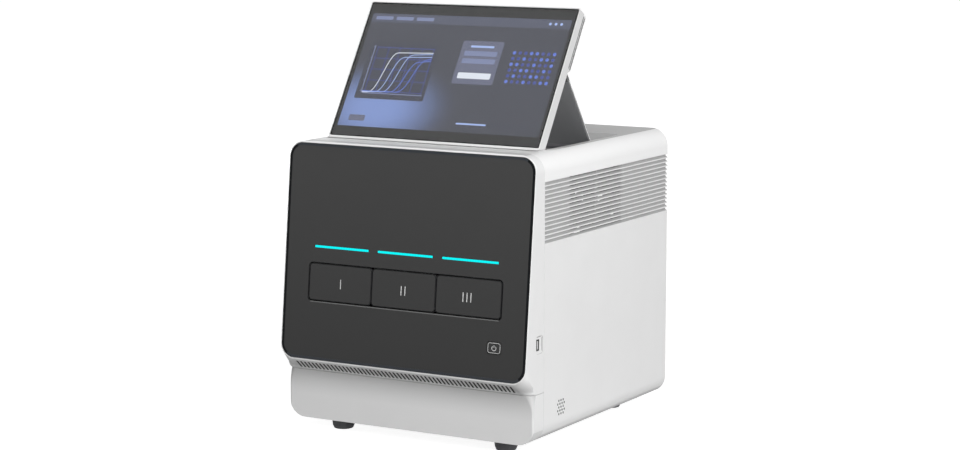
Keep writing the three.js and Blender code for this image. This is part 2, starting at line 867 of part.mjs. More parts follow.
// Rear panel with two fan grilles and the cut-outs of its sockets
function rearPanel() {
  const outline = bodyOutline(coverWall + clearance);
  const near = rearPanelFace - rearPanelThickness;
  const plate = prism('y', outline, near, rearPanelFace);
  const through = [near - overrun, rearPanelFace + overrun];
  const slots = [-1, 1].flatMap((side) => grilleSlots(side * fanSpacing / 2, ...through));
  const cutout = (x, width, height) => {
    const half = width / 2 + clearance;
    const rise = height / 2 + clearance;
    return box(x - half, x + half, ...through, socketHeight - rise, socketHeight + rise);
  };
  return plate.subtract(joined(slots)).subtract(joined([
    cutout(inletX, inletBodyWidth, inletBodyHeight),
    cutout(switchX, switchWidth, switchHeight),
    cutout(dataX, dataWidth, dataHeight),
  ]));
}

// Slots across a round grille, each as long as the circle is wide there
function grilleSlots(centre, near, far) {
  return Array.from({ length: 2 * grilleRows + 1 }, (_, index) => {
    const rise = (index - grilleRows) * grilleSlotPitch;
    const half = Math.sqrt(fanBore ** 2 - rise ** 2);
    const height = fanHeight + rise;
    return box(
      centre - half, centre + half, near, far, height - grilleSlotHeight / 2, height + grilleSlotHeight / 2,
    );
  });
}

// Fan frame: a square ring with a spoked centre that carries the rotor
function fanFrame(centre) {
  const back = rearPanelFace - rearPanelThickness - clearance;
  const front = back - fanDepth;
  const half = fanSize / 2;
  const ring = box(centre - half, centre + half, front, back, fanHeight - half, fanHeight + half)
    .subtract(rod('y', fanBore, front - overrun, back + overrun, centre, fanHeight, 2 * rodSides));
  const spokeFront = back - fanSpokeDepth;
  const reach = fanBore + clearance;
  const spokeHalf = fanSpokeWidth / 2;
  const spoke = (across, up) => box(
    centre - across, centre + across, spokeFront, back, fanHeight - up, fanHeight + up,
  );
  return ring.add(spoke(reach, spokeHalf)).add(spoke(spokeHalf, reach))
    .add(rod('y', fanHubRadius, spokeFront, back, centre, fanHeight))
    .add(rod('y', fanAxleRadius, back - fanHubDepth, back, centre, fanHeight));
}

// Fan rotor: hub and pitched blades, turning on the frame's axle
function fanRotor(centre) {
  const back = rearPanelFace - rearPanelThickness - clearance - fanSpokeDepth - clearance;
  const front = back - fanHubDepth + fanSpokeDepth;
  const hub = rod('y', fanHubRadius, front, back, centre, fanHeight);
  const bore = rod('y', fanAxleRadius + clearance, front - overrun, back + overrun, centre, fanHeight);
  const reach = fanBore - bladeTipGap;
  const blades = Array.from({ length: bladeCount }, (_, index) => {
    const span = reach - fanHubRadius / 2;
    const blade = new THREE.BoxGeometry(bladeChord, bladeThickness, span);
    blade.rotateZ(bladePitch);
    blade.translate(0, 0, fanHubRadius / 2 + span / 2);
    blade.rotateY(2 * Math.PI * index / bladeCount);
    blade.translate(centre, (front + back) / 2, fanHeight);
    return solid(blade);
  });
  const disc = rod('y', reach, front, back, centre, fanHeight, 2 * rodSides);
  return hub.add(joined(blades).intersect(disc)).subtract(bore);
}

// Mains inlet: flange outside the rear panel, body through it, three pins in the cavity
function mainsInlet() {
  const rectangle = (width, height, corner) => roundedRectangle(
    inletX - width / 2, inletX + width / 2, socketHeight - height / 2, socketHeight + height / 2, corner,
  );
  const face = rearPanelFace + clearance + inletFlangeThickness;
  const flange = prism(
    'y', rectangle(inletFlangeWidth, inletFlangeHeight, inletCorner), rearPanelFace + clearance, face,
  );
  const cavityBack = face - inletCavityDepth;
  const body = box(
    inletX - inletBodyWidth / 2, inletX + inletBodyWidth / 2, cavityBack - inletTerminalDepth, face,
    socketHeight - inletBodyHeight / 2, socketHeight + inletBodyHeight / 2,
  );
  const cavity = prism(
    'y', rectangle(inletCavityWidth, inletCavityHeight, inletCorner), cavityBack, face + overrun,
  );
  const aside = inletPinSpacing / 2;
  const places = [[0, inletEarthRise], [-aside, -inletPinDrop], [aside, -inletPinDrop]];
  const pins = places.map(([across, rise]) => box(
    inletX + across - inletPinThickness / 2, inletX + across + inletPinThickness / 2,
    cavityBack - overrun, cavityBack + inletPinLength,
    socketHeight + rise - inletPinWidth / 2, socketHeight + rise + inletPinWidth / 2,
  ));
  return flange.add(body).subtract(cavity).add(joined(pins));
}

// Switch frame: a short open box through the rear panel, with a rim outside it
function switchFrame() {
  const half = switchWidth / 2;
  const rise = switchHeight / 2;
  const back = rearPanelFace + clearance + inletFlangeThickness;
  const front = back - switchDepth;
  const body = box(
    switchX - half, switchX + half, front, back, socketHeight - rise, socketHeight + rise,
  );
  const rim = box(
    switchX - half - switchWall, switchX + half + switchWall, rearPanelFace + clearance, back,
    socketHeight - rise - switchWall, socketHeight + rise + switchWall,
  );
  const hollow = box(
    switchX - half + switchWall, switchX + half - switchWall, front + switchWall, back + overrun,
    socketHeight - rise + switchWall, socketHeight + rise - switchWall,
  );
  return body.add(rim).subtract(hollow);
}

// Rocker: a key with a dipped face, tipped to one side about its own middle
function switchRocker() {
  const half = switchWidth / 2 - switchWall - runningGap;
  const rise = switchHeight / 2 - switchWall - 3 * runningGap;
  const back = -rockerThickness / 2;
  const outline = [
    [back, rockerChamfer - rise], [back, rise - rockerChamfer], [-back, rise],
    [-back - rockerDip, 0], [-back, -rise],
  ];
  const rocker = outline.map(([depth, height]) => (
    new THREE.Vector2(depth, height).rotateAround(new THREE.Vector2(), -rockerTilt)
      .add(new THREE.Vector2(rockerPivot(), socketHeight))));
  return prism('x', rocker, switchX - half, switchX + half);
}

function rockerPivot() {
  return rearPanelFace + clearance + inletFlangeThickness - rockerThickness / 2;
}

// Data socket: a box with a square mouth, through the rear panel
function dataSocket() {
  const face = rearPanelFace + dataProud;
  const body = box(
    dataX - dataWidth / 2, dataX + dataWidth / 2, face - dataOpeningDepth - dataTail, face,
    socketHeight - dataHeight / 2, socketHeight + dataHeight / 2,
  );
  const mouth = box(
    dataX - dataOpeningWidth / 2, dataX + dataOpeningWidth / 2, face - dataOpeningDepth, face + overrun,
    socketHeight - dataOpeningHeight / 2, socketHeight + dataOpeningHeight / 2,
  );
  return body.subtract(mouth);
}

function speaker() {
  const back = halfWidth - coverWall - clearance;
  return rod('x', speakerRadius, back - speakerThickness, back, speakerDepth, speakerHeight);
}

// Slide bed: a sheet bridge on two legs, with rails, guide walls and motor pads
function slideBed() {
  const bedHalf = bedWidth / 2;
  const legFoot = basePlateTop + clearance;
  const parts = [
    box(-bedHalf, bedHalf, bedFront, bedRear, bedHeight, bedTop),
    box(-bedHalf, bedSheet - bedHalf, basePlateSetback, bedRear, legFoot, bedTop),
    box(bedHalf - bedSheet, bedHalf, basePlateSetback, bedRear, legFoot, bedTop),
  ];
  for (const sign of moduleSigns) {
    const centre = sign * modulePitch;
    for (const side of [-1, 1]) {
      const rail = centre + side * (trayHalfWidth - railInset);
      parts.push(box(
        rail - railWidth / 2, rail + railWidth / 2, bedFront, railRear, bedHeight, bedTop + railHeight,
      ));
    }
    const half = motorSize / 2;
    const padTop = screwHeight - half - clearance;
    parts.push(box(centre - half, centre + half, motorFront, motorRear, bedHeight, padTop));
  }
  for (let wall = 0; wall <= moduleSigns.length; wall += 1) {
    const middle = (wall - moduleSigns.length / 2) * modulePitch;
    parts.push(box(
      middle - guideWall / 2, middle + guideWall / 2, bedFront, railRear, bedHeight, bedTop + guideHeight,
    ));
  }
  return joined(parts);
}

// Drawer front: a plate in line with the front panel, with a boss back to the tray
function drawerFront(sign) {
  const centre = sign * modulePitch;
  const half = modulePitch / 2 - drawerGap / 2;
  const low = drawerBottom + drawerGap;
  const high = drawerTop - drawerGap;
  const back = panelRecess + panelThickness;
  const plate = panelPlate(centre - half, centre + half, low, high, drawerCorner, panelRecess, back);
  const bossHalf = half - drawerFrontBossInset;
  const bossLow = trayBottom + clearance;
  const bossHigh = trayBottom + trayHeight;
  const seam = trayFront - clearance;
  const inside = panelRecess + panelThickness / 2;
  const ring = (lowEnd, highEnd) => (
    tiltedRing(lowEnd, highEnd, bossHalf, clearance, clearance, smallArcSteps)
      .map((point) => point.add(vector(centre, 0, 0))));
  const boss = loft([
    ring(onPanel(downPanel(bossLow), inside), onPanel(downPanel(bossHigh), inside)),
    ring([seam, bossLow], [seam, bossHigh]),
  ]);
  return plate.add(boss);
}

// Drawer tray: an open trough with a nut for the lead screw on its rear wall
function drawerTray(sign) {
  const centre = sign * modulePitch;
  const inner = trayHalfWidth - trayWall;
  const top = trayBottom + trayHeight;
  const trough = box(centre - trayHalfWidth, centre + trayHalfWidth, trayFront, trayRear, trayBottom, top)
    .subtract(box(
      centre - inner, centre + inner, trayFront + trayWall, trayRear - trayWall, trayFloor, top + overrun,
    ));
  const nut = rod('y', nutRadius, trayRear - nutLength, trayRear, centre, screwHeight);
  const bore = rod(
    'y', screwRadius + runningGap, trayRear - nutLength - overrun, trayRear + overrun, centre, screwHeight,
  );
  return trough.add(nut).subtract(bore);
}

function leadScrew(sign) {
  const end = motorFront + motorBore - clearance;
  return rod('y', screwRadius, screwFront, end, sign * modulePitch, screwHeight);
}

function driveMotor(sign) {
  const centre = sign * modulePitch;
  const half = motorSize / 2;
  const boreEnd = motorFront + motorBore;
  return box(
    centre - half, centre + half, motorFront, motorRear, screwHeight - half, screwHeight + half,
  ).subtract(rod('y', screwRadius + runningGap, motorFront - overrun, boreEnd, centre, screwHeight));
}

// Heat sink: fins under a base plate, standing on the tray's floor
function heatSink(sign) {
  const left = sign * modulePitch - sinkWidth / 2;
  const floor = trayFloor + clearance;
  const parts = [box(left, left + sinkWidth, sinkFront, sinkRear, sinkTop - sinkBase, sinkTop)];
  const pitch = (sinkWidth - finThickness) / (finCount - 1);
  for (let index = 0; index < finCount; index += 1) {
    const start = left + index * pitch;
    parts.push(box(start, start + finThickness, sinkFront, sinkRear, floor, sinkTop));
  }
  return joined(parts);
}

// Sample block with tapered wells in rows and columns
function sampleBlock(sign) {
  const centre = sign * modulePitch;
  const low = sinkTop + clearance;
  const block = box(
    centre - blockWidth / 2, centre + blockWidth / 2, blockFront, blockFront + blockLength, low, blockTop,
  );
  const wells = [];
  for (let column = 0; column < wellColumns; column += 1) {
    for (let row = 0; row < wellRows; row += 1) {
      const x = centre + (column - (wellColumns - 1) / 2) * wellPitch;
      const y = blockCentre + (row - (wellRows - 1) / 2) * wellPitch;
      const well = new THREE.CylinderGeometry(wellTopRadius, wellTipRadius, wellDepth, smallSides);
      well.rotateX(quarterTurn);
      well.translate(x, y, blockTop - wellDepth / 2);
      wells.push(solid(well));
    }
  }
  return block.subtract(joined(wells));
}

// Heated lid: a slotted plate over the sample block, with two guide pins
function heatedLid(sign) {
  const centre = sign * modulePitch;
  const top = lidBottom + lidHeight;
  const plate = box(centre - lidWidth / 2, centre + lidWidth / 2, lidFront, lidRear, lidBottom, top);
  const slots = Array.from({ length: wellColumns }, (_, column) => {
    const x = centre + (column - (wellColumns - 1) / 2) * wellPitch;
    const half = lidSlotWidth / 2;
    return box(
      x - half, x + half, lidFront + lidSlotMargin, lidRear - lidSlotMargin,
      lidBottom - overrun, top + overrun,
    );
  });
  const pins = lidPinDepths().map((depth) => (
    rod('z', lidPinRadius, top - overrun, bridgeTop + lidPinProud, centre, depth, smallSides)));
  return plate.subtract(joined(slots)).add(joined(pins));
}

function lidPinDepths() {
  return [lidFront + lidPinInset, lidRear - lidPinInset];
}

// Lid bridge: a sheet over all three lids, with guide holes and light windows
function lidBridge() {
  const half = bedWidth / 2;
  const front = lidFront - bridgeMargin;
  const back = lidRear + bridgeMargin;
  const low = bridgeTop - bridgeSheet;
  const legFoot = bedTop + clearance;
  const sheet = joined([
    box(-half, half, front, back, low, bridgeTop),
    box(-half, bridgeLegWidth - half, front, back, legFoot, bridgeTop),
    box(half - bridgeLegWidth, half, front, back, legFoot, bridgeTop),
  ]);
  const windowHalf = wellColumns * wellPitch / 2 + bridgeWindowMargin;
  const cuts = moduleSigns.flatMap((sign) => [
    box(
      sign * modulePitch - windowHalf, sign * modulePitch + windowHalf,
      lidFront + lidSlotMargin, lidRear - lidSlotMargin, low - overrun, bridgeTop + overrun,
    ),
    ...lidPinDepths().map((depth) => rod(
      'z', lidPinRadius + clearance, low - overrun, bridgeTop + overrun,
      sign * modulePitch, depth, smallSides,
    )),
  ]);
  return sheet.subtract(joined(cuts));
}

// Optics rail on two posts across all modules
function opticsRail() {
  const half = bedWidth / 2;
  const low = bridgeTop + opticsRailRise;
  const front = blockCentre - opticsRailWidth / 2;
  const back = blockCentre + opticsRailWidth / 2;
  const foot = bridgeTop + clearance;
  const top = low + opticsRailHeight;
  return joined([
    box(-half, half, front, back, low, top),
    box(-half, opticsPostWidth - half, front, back, foot, top),
    box(half - opticsPostWidth, half, front, back, foot, top),
  ]);
}

// Optics head around the rail, with its lens looking down
function opticsHead() {
  const half = opticsHeadWidth / 2;
  const reach = opticsHeadLength / 2;
  const low = bridgeTop + opticsHeadRise;
  const railLow = bridgeTop + opticsRailRise;
  const railTop = railLow + opticsRailHeight;
  const railHalf = opticsRailWidth / 2 + runningGap;
  const body = box(-half, half, blockCentre - reach, blockCentre + reach, low, railTop + opticsHeadCap);
  const bore = box(
    -half - overrun, half + overrun, blockCentre - railHalf, blockCentre + railHalf,
    railLow - runningGap, railTop + runningGap,
  );
  return body.subtract(bore).add(rod('z', lensRadius, low - lensHeight, low + overrun, 0, blockCentre));
}

// Power supply: a steel box with air slots in its top
function powerSupply() {
  const left = bedSheet + supplyMargin - bedWidth / 2;
  const right = -supplyCentreGap;
  const low = basePlateTop + clearance;
  const back = supplyFront + supplyLength;
  const body = box(left, right, supplyFront, back, low, low + supplyHeight);
  const slots = Array.from({ length: supplySlotCount }, (_, index) => {
    const start = supplyFront + supplySlotMargin + index * supplySlotPitch;
    return box(
      left + supplySlotMargin, right - supplySlotMargin, start, start + supplySlotWidth,
      low + supplyHeight - supplySlotDepth, low + supplyHeight + overrun,
    );
  });
  return body.subtract(joined(slots));
}

// Control board on standoffs, with its main chip and a row of connectors
function controlBoard() {
  const left = boardCentreGap;
  const right = bedWidth / 2 - bedSheet - boardMargin;
  const centre = (left + right) / 2;
  const back = boardFront + boardLength;
  const foot = basePlateTop + clearance;
  const low = foot + boardRise;
  const top = low + boardThickness;
  const parts = [box(left, right, boardFront, back, low, top)];
  for (const x of [left + standoffInset, right - standoffInset]) {
    for (const y of [boardFront + standoffInset, back - standoffInset]) {
      parts.push(rod('z', standoffRadius, foot, top, x, y, smallSides));
    }
  }
  const middle = (boardFront + back) / 2;
  const chipHalf = chipSize / 2;
  parts.push(box(
    centre - chipHalf, centre + chipHalf, middle - chipHalf, middle + chipHalf,
    low, top + chipHeight,
  ));
  for (let index = 0; index < connectorCount; index += 1) {
    const x = centre + (index - (connectorCount - 1) / 2) * connectorPitch;
    parts.push(box(
      x - connectorWidth / 2, x + connectorWidth / 2, back - connectorLength, back,
      low, top + connectorHeight,
    ));
  }
  return joined(parts);
}

// Outline of the display across its width, from a low to a high rise, with a margin
function displayOutline(half, low, high, corner) {
  return roundedRectangle(-half, half, low, high, corner);
}

// Display frame: a shallow tray for glass and screen, with hinge knuckles and stand lugs behind
function displayFrame() {
  const front = -glassForward - frameLip;
  const back = frameBackFace;
  const low = glassRise - frameChin;
  const high = glassRise + glassHeight + frameRim;
  const shell = prism('y', displayOutline(glassWidth / 2 + frameRim, low, high, frameCorner), front, back);
  const pocketBack = -glassForward + glassThickness + clearance;
  const pocket = prism('y', displayOutline(
    glassWidth / 2 + clearance, glassRise - clearance, glassRise + glassHeight + clearance, frameRim,
  ), front - overrun, pocketBack);
  const cavity = box(
    -screenWidth / 2 - clearance, screenWidth / 2 + clearance, pocketBack - overrun, back - frameBack,
    glassRise + screenMarginLow - clearance, glassRise + glassHeight - screenMarginHigh + clearance,
  );
  const knuckleHalf = bracketWidth / 2 - bracketEar - clearance;
  const additions = [-1, 1].flatMap((side) => {
    const centre = side * bracketX;
    return [
      rod('x', knuckleRadius, centre - knuckleHalf, centre + knuckleHalf, 0, 0),
      box(centre - knuckleHalf, centre + knuckleHalf, back - knuckleWebDepth, back, 0, low + overrun / 2),
      box(
        side * lugX - lugWidth / 2, side * lugX + lugWidth / 2, back - overrun / 2, pivotBack + lugProud,
        pivotRise - lugHeight / 2, pivotRise + lugHeight / 2,
      ),
    ];
  });
  const bores = [
    rod('x', hingePinRadius + clearance, -glassWidth, glassWidth, 0, 0),
    rod('x', hingePinRadius + clearance, -glassWidth, glassWidth, pivotBack, pivotRise),
  ];
  return shell.subtract(pocket).subtract(cavity).add(joined(additions)).subtract(joined(bores));
}

function displayGlass() {
  return prism('y', displayOutline(glassWidth / 2, glassRise, glassRise + glassHeight, frameRim),
    -glassForward, -glassForward + glassThickness);
}

function displayScreen() {
  const front = -glassForward + glassThickness + clearance;
  return box(
    -screenWidth / 2, screenWidth / 2, front, front + screenThickness,
    glassRise + screenMarginLow, glassRise + glassHeight - screenMarginHigh,
  );
}

// Back cover: the thicker housing over the upper half of the display's back
function displayBackCover() {
  const front = frameBackFace + clearance;
  const half = glassWidth / 2 + frameRim - backCoverSideInset;
  const top = glassRise + glassHeight + frameRim - backCoverTopInset;
  const ring = (depth, inset) => (
    displayOutline(half - inset, backCoverStart + inset, top - inset, frameCorner)
      .map((point) => vector(point.x, depth, point.y)));
  const back = front + backCoverDepth;
  const groove = (front + back) / 2;
  return loft([
    ring(front, 0), ring(groove - backCoverEdge / 2, 0), ring(groove, backCoverEdge / 2),
    ring(groove + backCoverEdge / 2, 0), ring(back - backCoverEdge / 2, 0), ring(back, backCoverEdge / 2),
  ]);
}

// Hinge bracket on the recess floor: two ears that hold a pin
function hingeBracket(side) {
  const left = side * bracketX - bracketWidth / 2;
  const right = side * bracketX + bracketWidth / 2;
  const foot = recessFloor + clearance;
  const base = box(
    left, right, hingeDepth - bracketLength / 2, hingeDepth + bracketLength / 2, foot, foot + bracketBase,
  );
  const ears = [[left, left + bracketEar], [right - bracketEar, right]].flatMap(([start, end]) => [
    rod('x', bracketEarRadius, start, end, hingeDepth, hingeHeight),
    box(start, end, hingeDepth - bracketEarRadius / 2, hingeDepth + bracketEarRadius / 2, foot, hingeHeight),
  ]);
  const pin = rod('x', hingePinRadius, left, right, hingeDepth, hingeHeight);
  return joined([base, ...ears, pin]);
}

// Stand plate, in a frame whose origin is its upper pivot and whose plate hangs down
function stand() {
  const half = standWidth / 2;
  const tip = -armLength - hingeRise + clearance + standTipGap;
  const middle = standThickness / 2;
  const plate = box(-half, half, -middle, middle, tip, -standPlateStart);
  const web = box(-standBarrelHalf, standBarrelHalf, -middle, middle, -standPlateStart - overrun, 0);
  const barrel = rod('x', standBarrelRadius, -standBarrelHalf, standBarrelHalf, 0, 0);
  const bore = rod('x', hingePinRadius + clearance, -half, half, 0, 0);
  return plate.add(web).add(barrel).subtract(bore);
}

function standPin() {
  const half = lugX + lugWidth / 2 + standPinEnd;
  return rod('x', hingePinRadius, -half, half, 0, 0);
}

// Foot strip: a rubber roll around the plate's lower edge, as round as the hinge is high
function standFootStrip() {
  const half = standWidth / 2;
  const roll = rod('x', hingeRise - clearance, -half, half, 0, -armLength, 2 * smallSides);
  const slotHalf = standThickness / 2 + clearance;
  const slotFoot = -armLength - hingeRise + standTipGap;
  return roll.subtract(box(-half - overrun, half + overrun, -slotHalf, slotHalf, slotFoot, 0));
}

// The machine stands on its feet, with the origin below the middle of its footprint
const part = new THREE.Group();
const machine = new THREE.Group();
const frontReach = onPanel(panelLength + rimBottom - rimEdge, 0)[0];
machine.position.set(0, -(frontReach + rearReach) / 2, footHeight);
part.add(machine);

addPiece(machine, 'main_cover', mainCover(), whiteShell);
addPiece(machine, 'front_bezel', frontBezel(), whiteShell);
addPiece(machine, 'front_panel', frontPanel(), darkPanel);
addPiece(machine, 'lower_front_cover', lowerFrontCover(), whiteShell);
addPiece(machine, 'base_plate', basePlate(), sheetSteel);
addPiece(machine, 'rear_panel', rearPanel(), sheetSteel);
for (const [index, place] of footPlaces().entries()) {
  addPiece(machine, `foot_${index + 1}`, foot(...place), softRubber);
}

for (const [index, sign] of moduleSigns.entries()) {
  const number = index + 1;
  addPiece(machine, `light_bar_${number}`, lightBar(sign), lightGuide);
  addPiece(machine, `drawer_front_${number}`, drawerFront(sign), darkPanel);
  addPiece(machine, `drawer_tray_${number}`, drawerTray(sign), sheetSteel);
  addPiece(machine, `heat_sink_${number}`, heatSink(sign), castAluminium);
  addPiece(machine, `sample_block_${number}`, sampleBlock(sign), castAluminium);
  addPiece(machine, `heated_lid_${number}`, heatedLid(sign), castAluminium);
  addPiece(machine, `lead_screw_${number}`, leadScrew(sign), polishedSteel);
  addPiece(machine, `drive_motor_${number}`, driveMotor(sign), darkPlastic);
}
addPiece(machine, 'slide_bed', slideBed(), sheetSteel);
addPiece(machine, 'lid_bridge', lidBridge(), sheetSteel);
addPiece(machine, 'optics_rail', opticsRail(), polishedSteel);
addPiece(machine, 'optics_head', opticsHead(), darkPlastic);
addPiece(machine, 'power_supply', powerSupply(), sheetSteel);
addPiece(machine, 'control_board', controlBoard(), circuitGreen);

for (const [index, side] of [-1, 1].entries()) {
  addPiece(machine, `fan_frame_${index + 1}`, fanFrame(side * fanSpacing / 2), darkPlastic);
  addPiece(machine, `fan_rotor_${index + 1}`, fanRotor(side * fanSpacing / 2), darkPlastic);
}
addPiece(machine, 'mains_inlet', mainsInlet(), darkPlastic);
addPiece(machine, 'switch_frame', switchFrame(), darkPlastic);
addPiece(machine, 'switch_rocker', switchRocker(), darkPlastic);
addPiece(machine, 'data_socket', dataSocket(), sheetSteel);
addPiece(machine, 'power_button', powerButton(), darkPanel);
addPiece(machine, 'side_port', sidePort(), polishedSteel);
addPiece(machine, 'speaker', speaker(), darkPlastic);

const display = new THREE.Group();
display.position.set(0, hingeDepth, hingeHeight);
display.rotation.x = -displayLean;
machine.add(display);
addPiece(display, 'display_frame', displayFrame(), whiteShell);
addPiece(display, 'display_glass', displayGlass(), coverGlass);
addPiece(display, 'display_screen', displayScreen(), screenFilm);
addPiece(display, 'display_back_cover', displayBackCover(), whiteShell);
addPiece(machine, 'hinge_bracket_left', hingeBracket(-1), castAluminium);
addPiece(machine, 'hinge_bracket_right', hingeBracket(1), castAluminium);

const standFrame = new THREE.Group();
standFrame.position.set(0, pivotDepth, pivotHeight);
standFrame.rotation.x = quarterTurn - armAngle;
machine.add(standFrame);
addPiece(standFrame, 'display_stand', stand(), greyPlastic);
addPiece(standFrame, 'stand_pin', standPin(), polishedSteel);
addPiece(standFrame, 'stand_foot_strip', standFootStrip(), softRubber);

export default part;
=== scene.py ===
import json
import math

import bpy
from mathutils import Matrix, Vector

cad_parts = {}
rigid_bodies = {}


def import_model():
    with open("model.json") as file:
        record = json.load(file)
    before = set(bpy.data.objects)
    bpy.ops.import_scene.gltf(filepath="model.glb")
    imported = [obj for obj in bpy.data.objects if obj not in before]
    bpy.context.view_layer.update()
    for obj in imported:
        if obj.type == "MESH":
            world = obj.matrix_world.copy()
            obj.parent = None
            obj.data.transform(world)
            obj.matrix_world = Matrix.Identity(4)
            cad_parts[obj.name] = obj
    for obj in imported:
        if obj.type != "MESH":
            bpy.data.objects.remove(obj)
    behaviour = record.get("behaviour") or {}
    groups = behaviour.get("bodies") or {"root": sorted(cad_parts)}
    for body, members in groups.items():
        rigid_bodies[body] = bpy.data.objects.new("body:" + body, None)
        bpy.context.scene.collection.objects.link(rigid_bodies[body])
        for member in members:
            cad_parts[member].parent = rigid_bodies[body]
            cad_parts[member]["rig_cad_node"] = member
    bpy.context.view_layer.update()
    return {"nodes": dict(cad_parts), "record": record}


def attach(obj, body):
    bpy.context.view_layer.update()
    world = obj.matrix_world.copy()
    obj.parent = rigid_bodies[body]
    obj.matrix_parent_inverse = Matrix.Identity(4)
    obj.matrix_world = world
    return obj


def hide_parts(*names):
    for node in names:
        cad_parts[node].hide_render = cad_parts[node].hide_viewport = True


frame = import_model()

nodes = frame["nodes"]
record = frame["record"]
nodeBody = {
    node: body for body, members in record["behaviour"]["bodies"].items() for node in members}
nodeSlot = {entry["node"]: entry["material_slot"] for entry in record["subparts"]}
mm = 0.001
pureWhite = (1, 1, 1, 1)


def hexColour(code):  # sRGB hex to the linear colour that Blender's sockets take
    channels = [int(code[i:i + 2], 16) / 255 for i in (0, 2, 4)]
    linear = [c / 12.92 if c <= 0.04045 else ((c + 0.055) / 1.055) ** 2.4 for c in channels]
    return (*linear, 1.0)


def addNode(tree, kind, inputs=None, **settings):  # a node, its settings, and its values or links
    node = tree.nodes.new(kind)
    for name, value in settings.items():
        setattr(node, name, value)
    for name, value in (inputs or {}).items():
        if isinstance(value, bpy.types.NodeSocket):
            tree.links.new(value, node.inputs[name])
        else:
            node.inputs[name].default_value = value
    return node


def blend(tree, amount, low, high):  # between two tones, each a hex code, a colour or a link
    low, high = (hexColour(end) if isinstance(end, str) else end for end in (low, high))
    return addNode(tree, "ShaderNodeMix", {0: amount, 6: low, 7: high}, data_type="RGBA").outputs[2]


def blots(tree, place, size, detail=2.0):  # soft noise, its size in millimetres
    return addNode(tree, "ShaderNodeTexNoise", {
        "Vector": place, "Scale": 1 / (size * mm), "Detail": detail}).outputs[0]


def remap(tree, value, source=(0, 1), target=(0, 1), **settings):
    return addNode(tree, "ShaderNodeMapRange", {
        "Value": value, "From Min": source[0], "From Max": source[1],
        "To Min": target[0], "To Max": target[1]}, **settings).outputs[0]


def startMaterial(name, **sockets):  # with _ for a space in a socket's name, here and in wire
    material = bpy.data.materials.new(name)
    material.use_nodes = True
    tree = material.node_tree
    shader = tree.nodes["Principled BSDF"]
    for socket, value in sockets.items():
        shader.inputs[socket.replace("_", " ")].default_value = value
    place = addNode(tree, "ShaderNodeTexCoord").outputs["Object"]
    return material, tree, shader, place


def wire(tree, shader, **sources):
    for socket, source in sources.items():
        tree.links.new(source, shader.inputs[socket.replace("_", " ")])


# Camera, solved from the straight edges in the photograph
camera = {
    "place": (1.5960, -2.7408, 0.7250),
    "azimuth": 30.1512,
    "elevation": 8.5118,
    "lens": 92.164,
    "sensor": 36,
    "shift": 0.00485,
    "clip": (0.05, 60),
}
turn, rise = math.radians(camera["azimuth"]), math.radians(camera["elevation"])
backwards = Vector((
    math.sin(turn) * math.cos(rise), -math.cos(turn) * math.cos(rise), math.sin(rise)))
bpy.ops.object.camera_add(location=camera["place"])
photoCamera = bpy.context.object
photoCamera.name = "photoCamera"
photoCamera.rotation_euler = (-backwards).to_track_quat("-Z", "Y").to_euler()
photoCamera.data.sensor_width = camera["sensor"]
photoCamera.data.lens = camera["lens"]
photoCamera.data.shift_y = camera["shift"]
photoCamera.data.clip_start, photoCamera.data.clip_end = camera["clip"]
bpy.context.scene.camera = photoCamera
bpy.context.scene.view_settings.view_transform = "Standard"
print("camera set")


# Studio: a white surround, a floor that keeps the shadow, and three soft lamps
studio = {
    "floorSize": 240,
    "floorTone": "B0B0B0",
    "floorLift": (0.9, 1.0),  # glow that the camera and reflections see, near the unit and far away
    "liftReach": (1.0, 5.0),
    "worldLevel": 0.05,
    "aim": (0, 0, 0.25),
    "lamps": [
        {"name": "rightFrontSoftbox", "place": (3.95, -2.75, 1.95), "size": 2.5, "power": 240},
        {"name": "frontTopSoftbox", "place": (0.8, -3.0, 3.9), "size": 2.2, "power": 66},
        {"name": "rearLeftSoftbox", "place": (-4.1, 2.4, 0.8), "size": 1.6, "power": 130},
    ],
}
world = bpy.data.worlds.new("whiteSurround")
bpy.context.scene.world = world
world.use_nodes = True
sky = world.node_tree
background = sky.nodes["Background"]
background.inputs["Color"].default_value = pureWhite


def seenDirectly(tree):  # 1 for camera, glossy and transmission rays
    path = addNode(tree, "ShaderNodeLightPath")
    seen = path.outputs["Is Camera Ray"]
    for ray in ("Is Glossy Ray", "Is Transmission Ray"):
        seen = addNode(tree, "ShaderNodeMath", {
            0: seen, 1: path.outputs[ray]}, operation="MAXIMUM").outputs[0]
    return seen


wire(sky, background, Strength=remap(sky, seenDirectly(sky), target=(studio["worldLevel"], 1.0)))

bpy.ops.mesh.primitive_plane_add(size=studio["floorSize"], location=(0, 0, 0))
floor = bpy.context.object
floor.name = "studioFloor"
floorPaint = bpy.data.materials.new("matt white studio floor")
floorPaint.use_nodes = True
tree = floorPaint.node_tree
tree.nodes.remove(tree.nodes["Principled BSDF"])
diffuse = addNode(tree, "ShaderNodeBsdfDiffuse", {"Color": hexColour(studio["floorTone"])})
away = addNode(tree, "ShaderNodeVectorMath", {
    0: addNode(tree, "ShaderNodeTexCoord").outputs["Object"]}, operation="LENGTH").outputs["Value"]
lift = addNode(tree, "ShaderNodeMath", {
    0: seenDirectly(tree), 1: remap(tree, away, studio["liftReach"], studio["floorLift"])},
    operation="MULTIPLY")
glow = addNode(tree, "ShaderNodeEmission", {"Color": pureWhite, "Strength": lift.outputs[0]})
both = addNode(tree, "ShaderNodeAddShader", {0: diffuse.outputs[0], 1: glow.outputs[0]})
wire(tree, tree.nodes["Material Output"], Surface=both.outputs[0])
floor.data.materials.append(floorPaint)

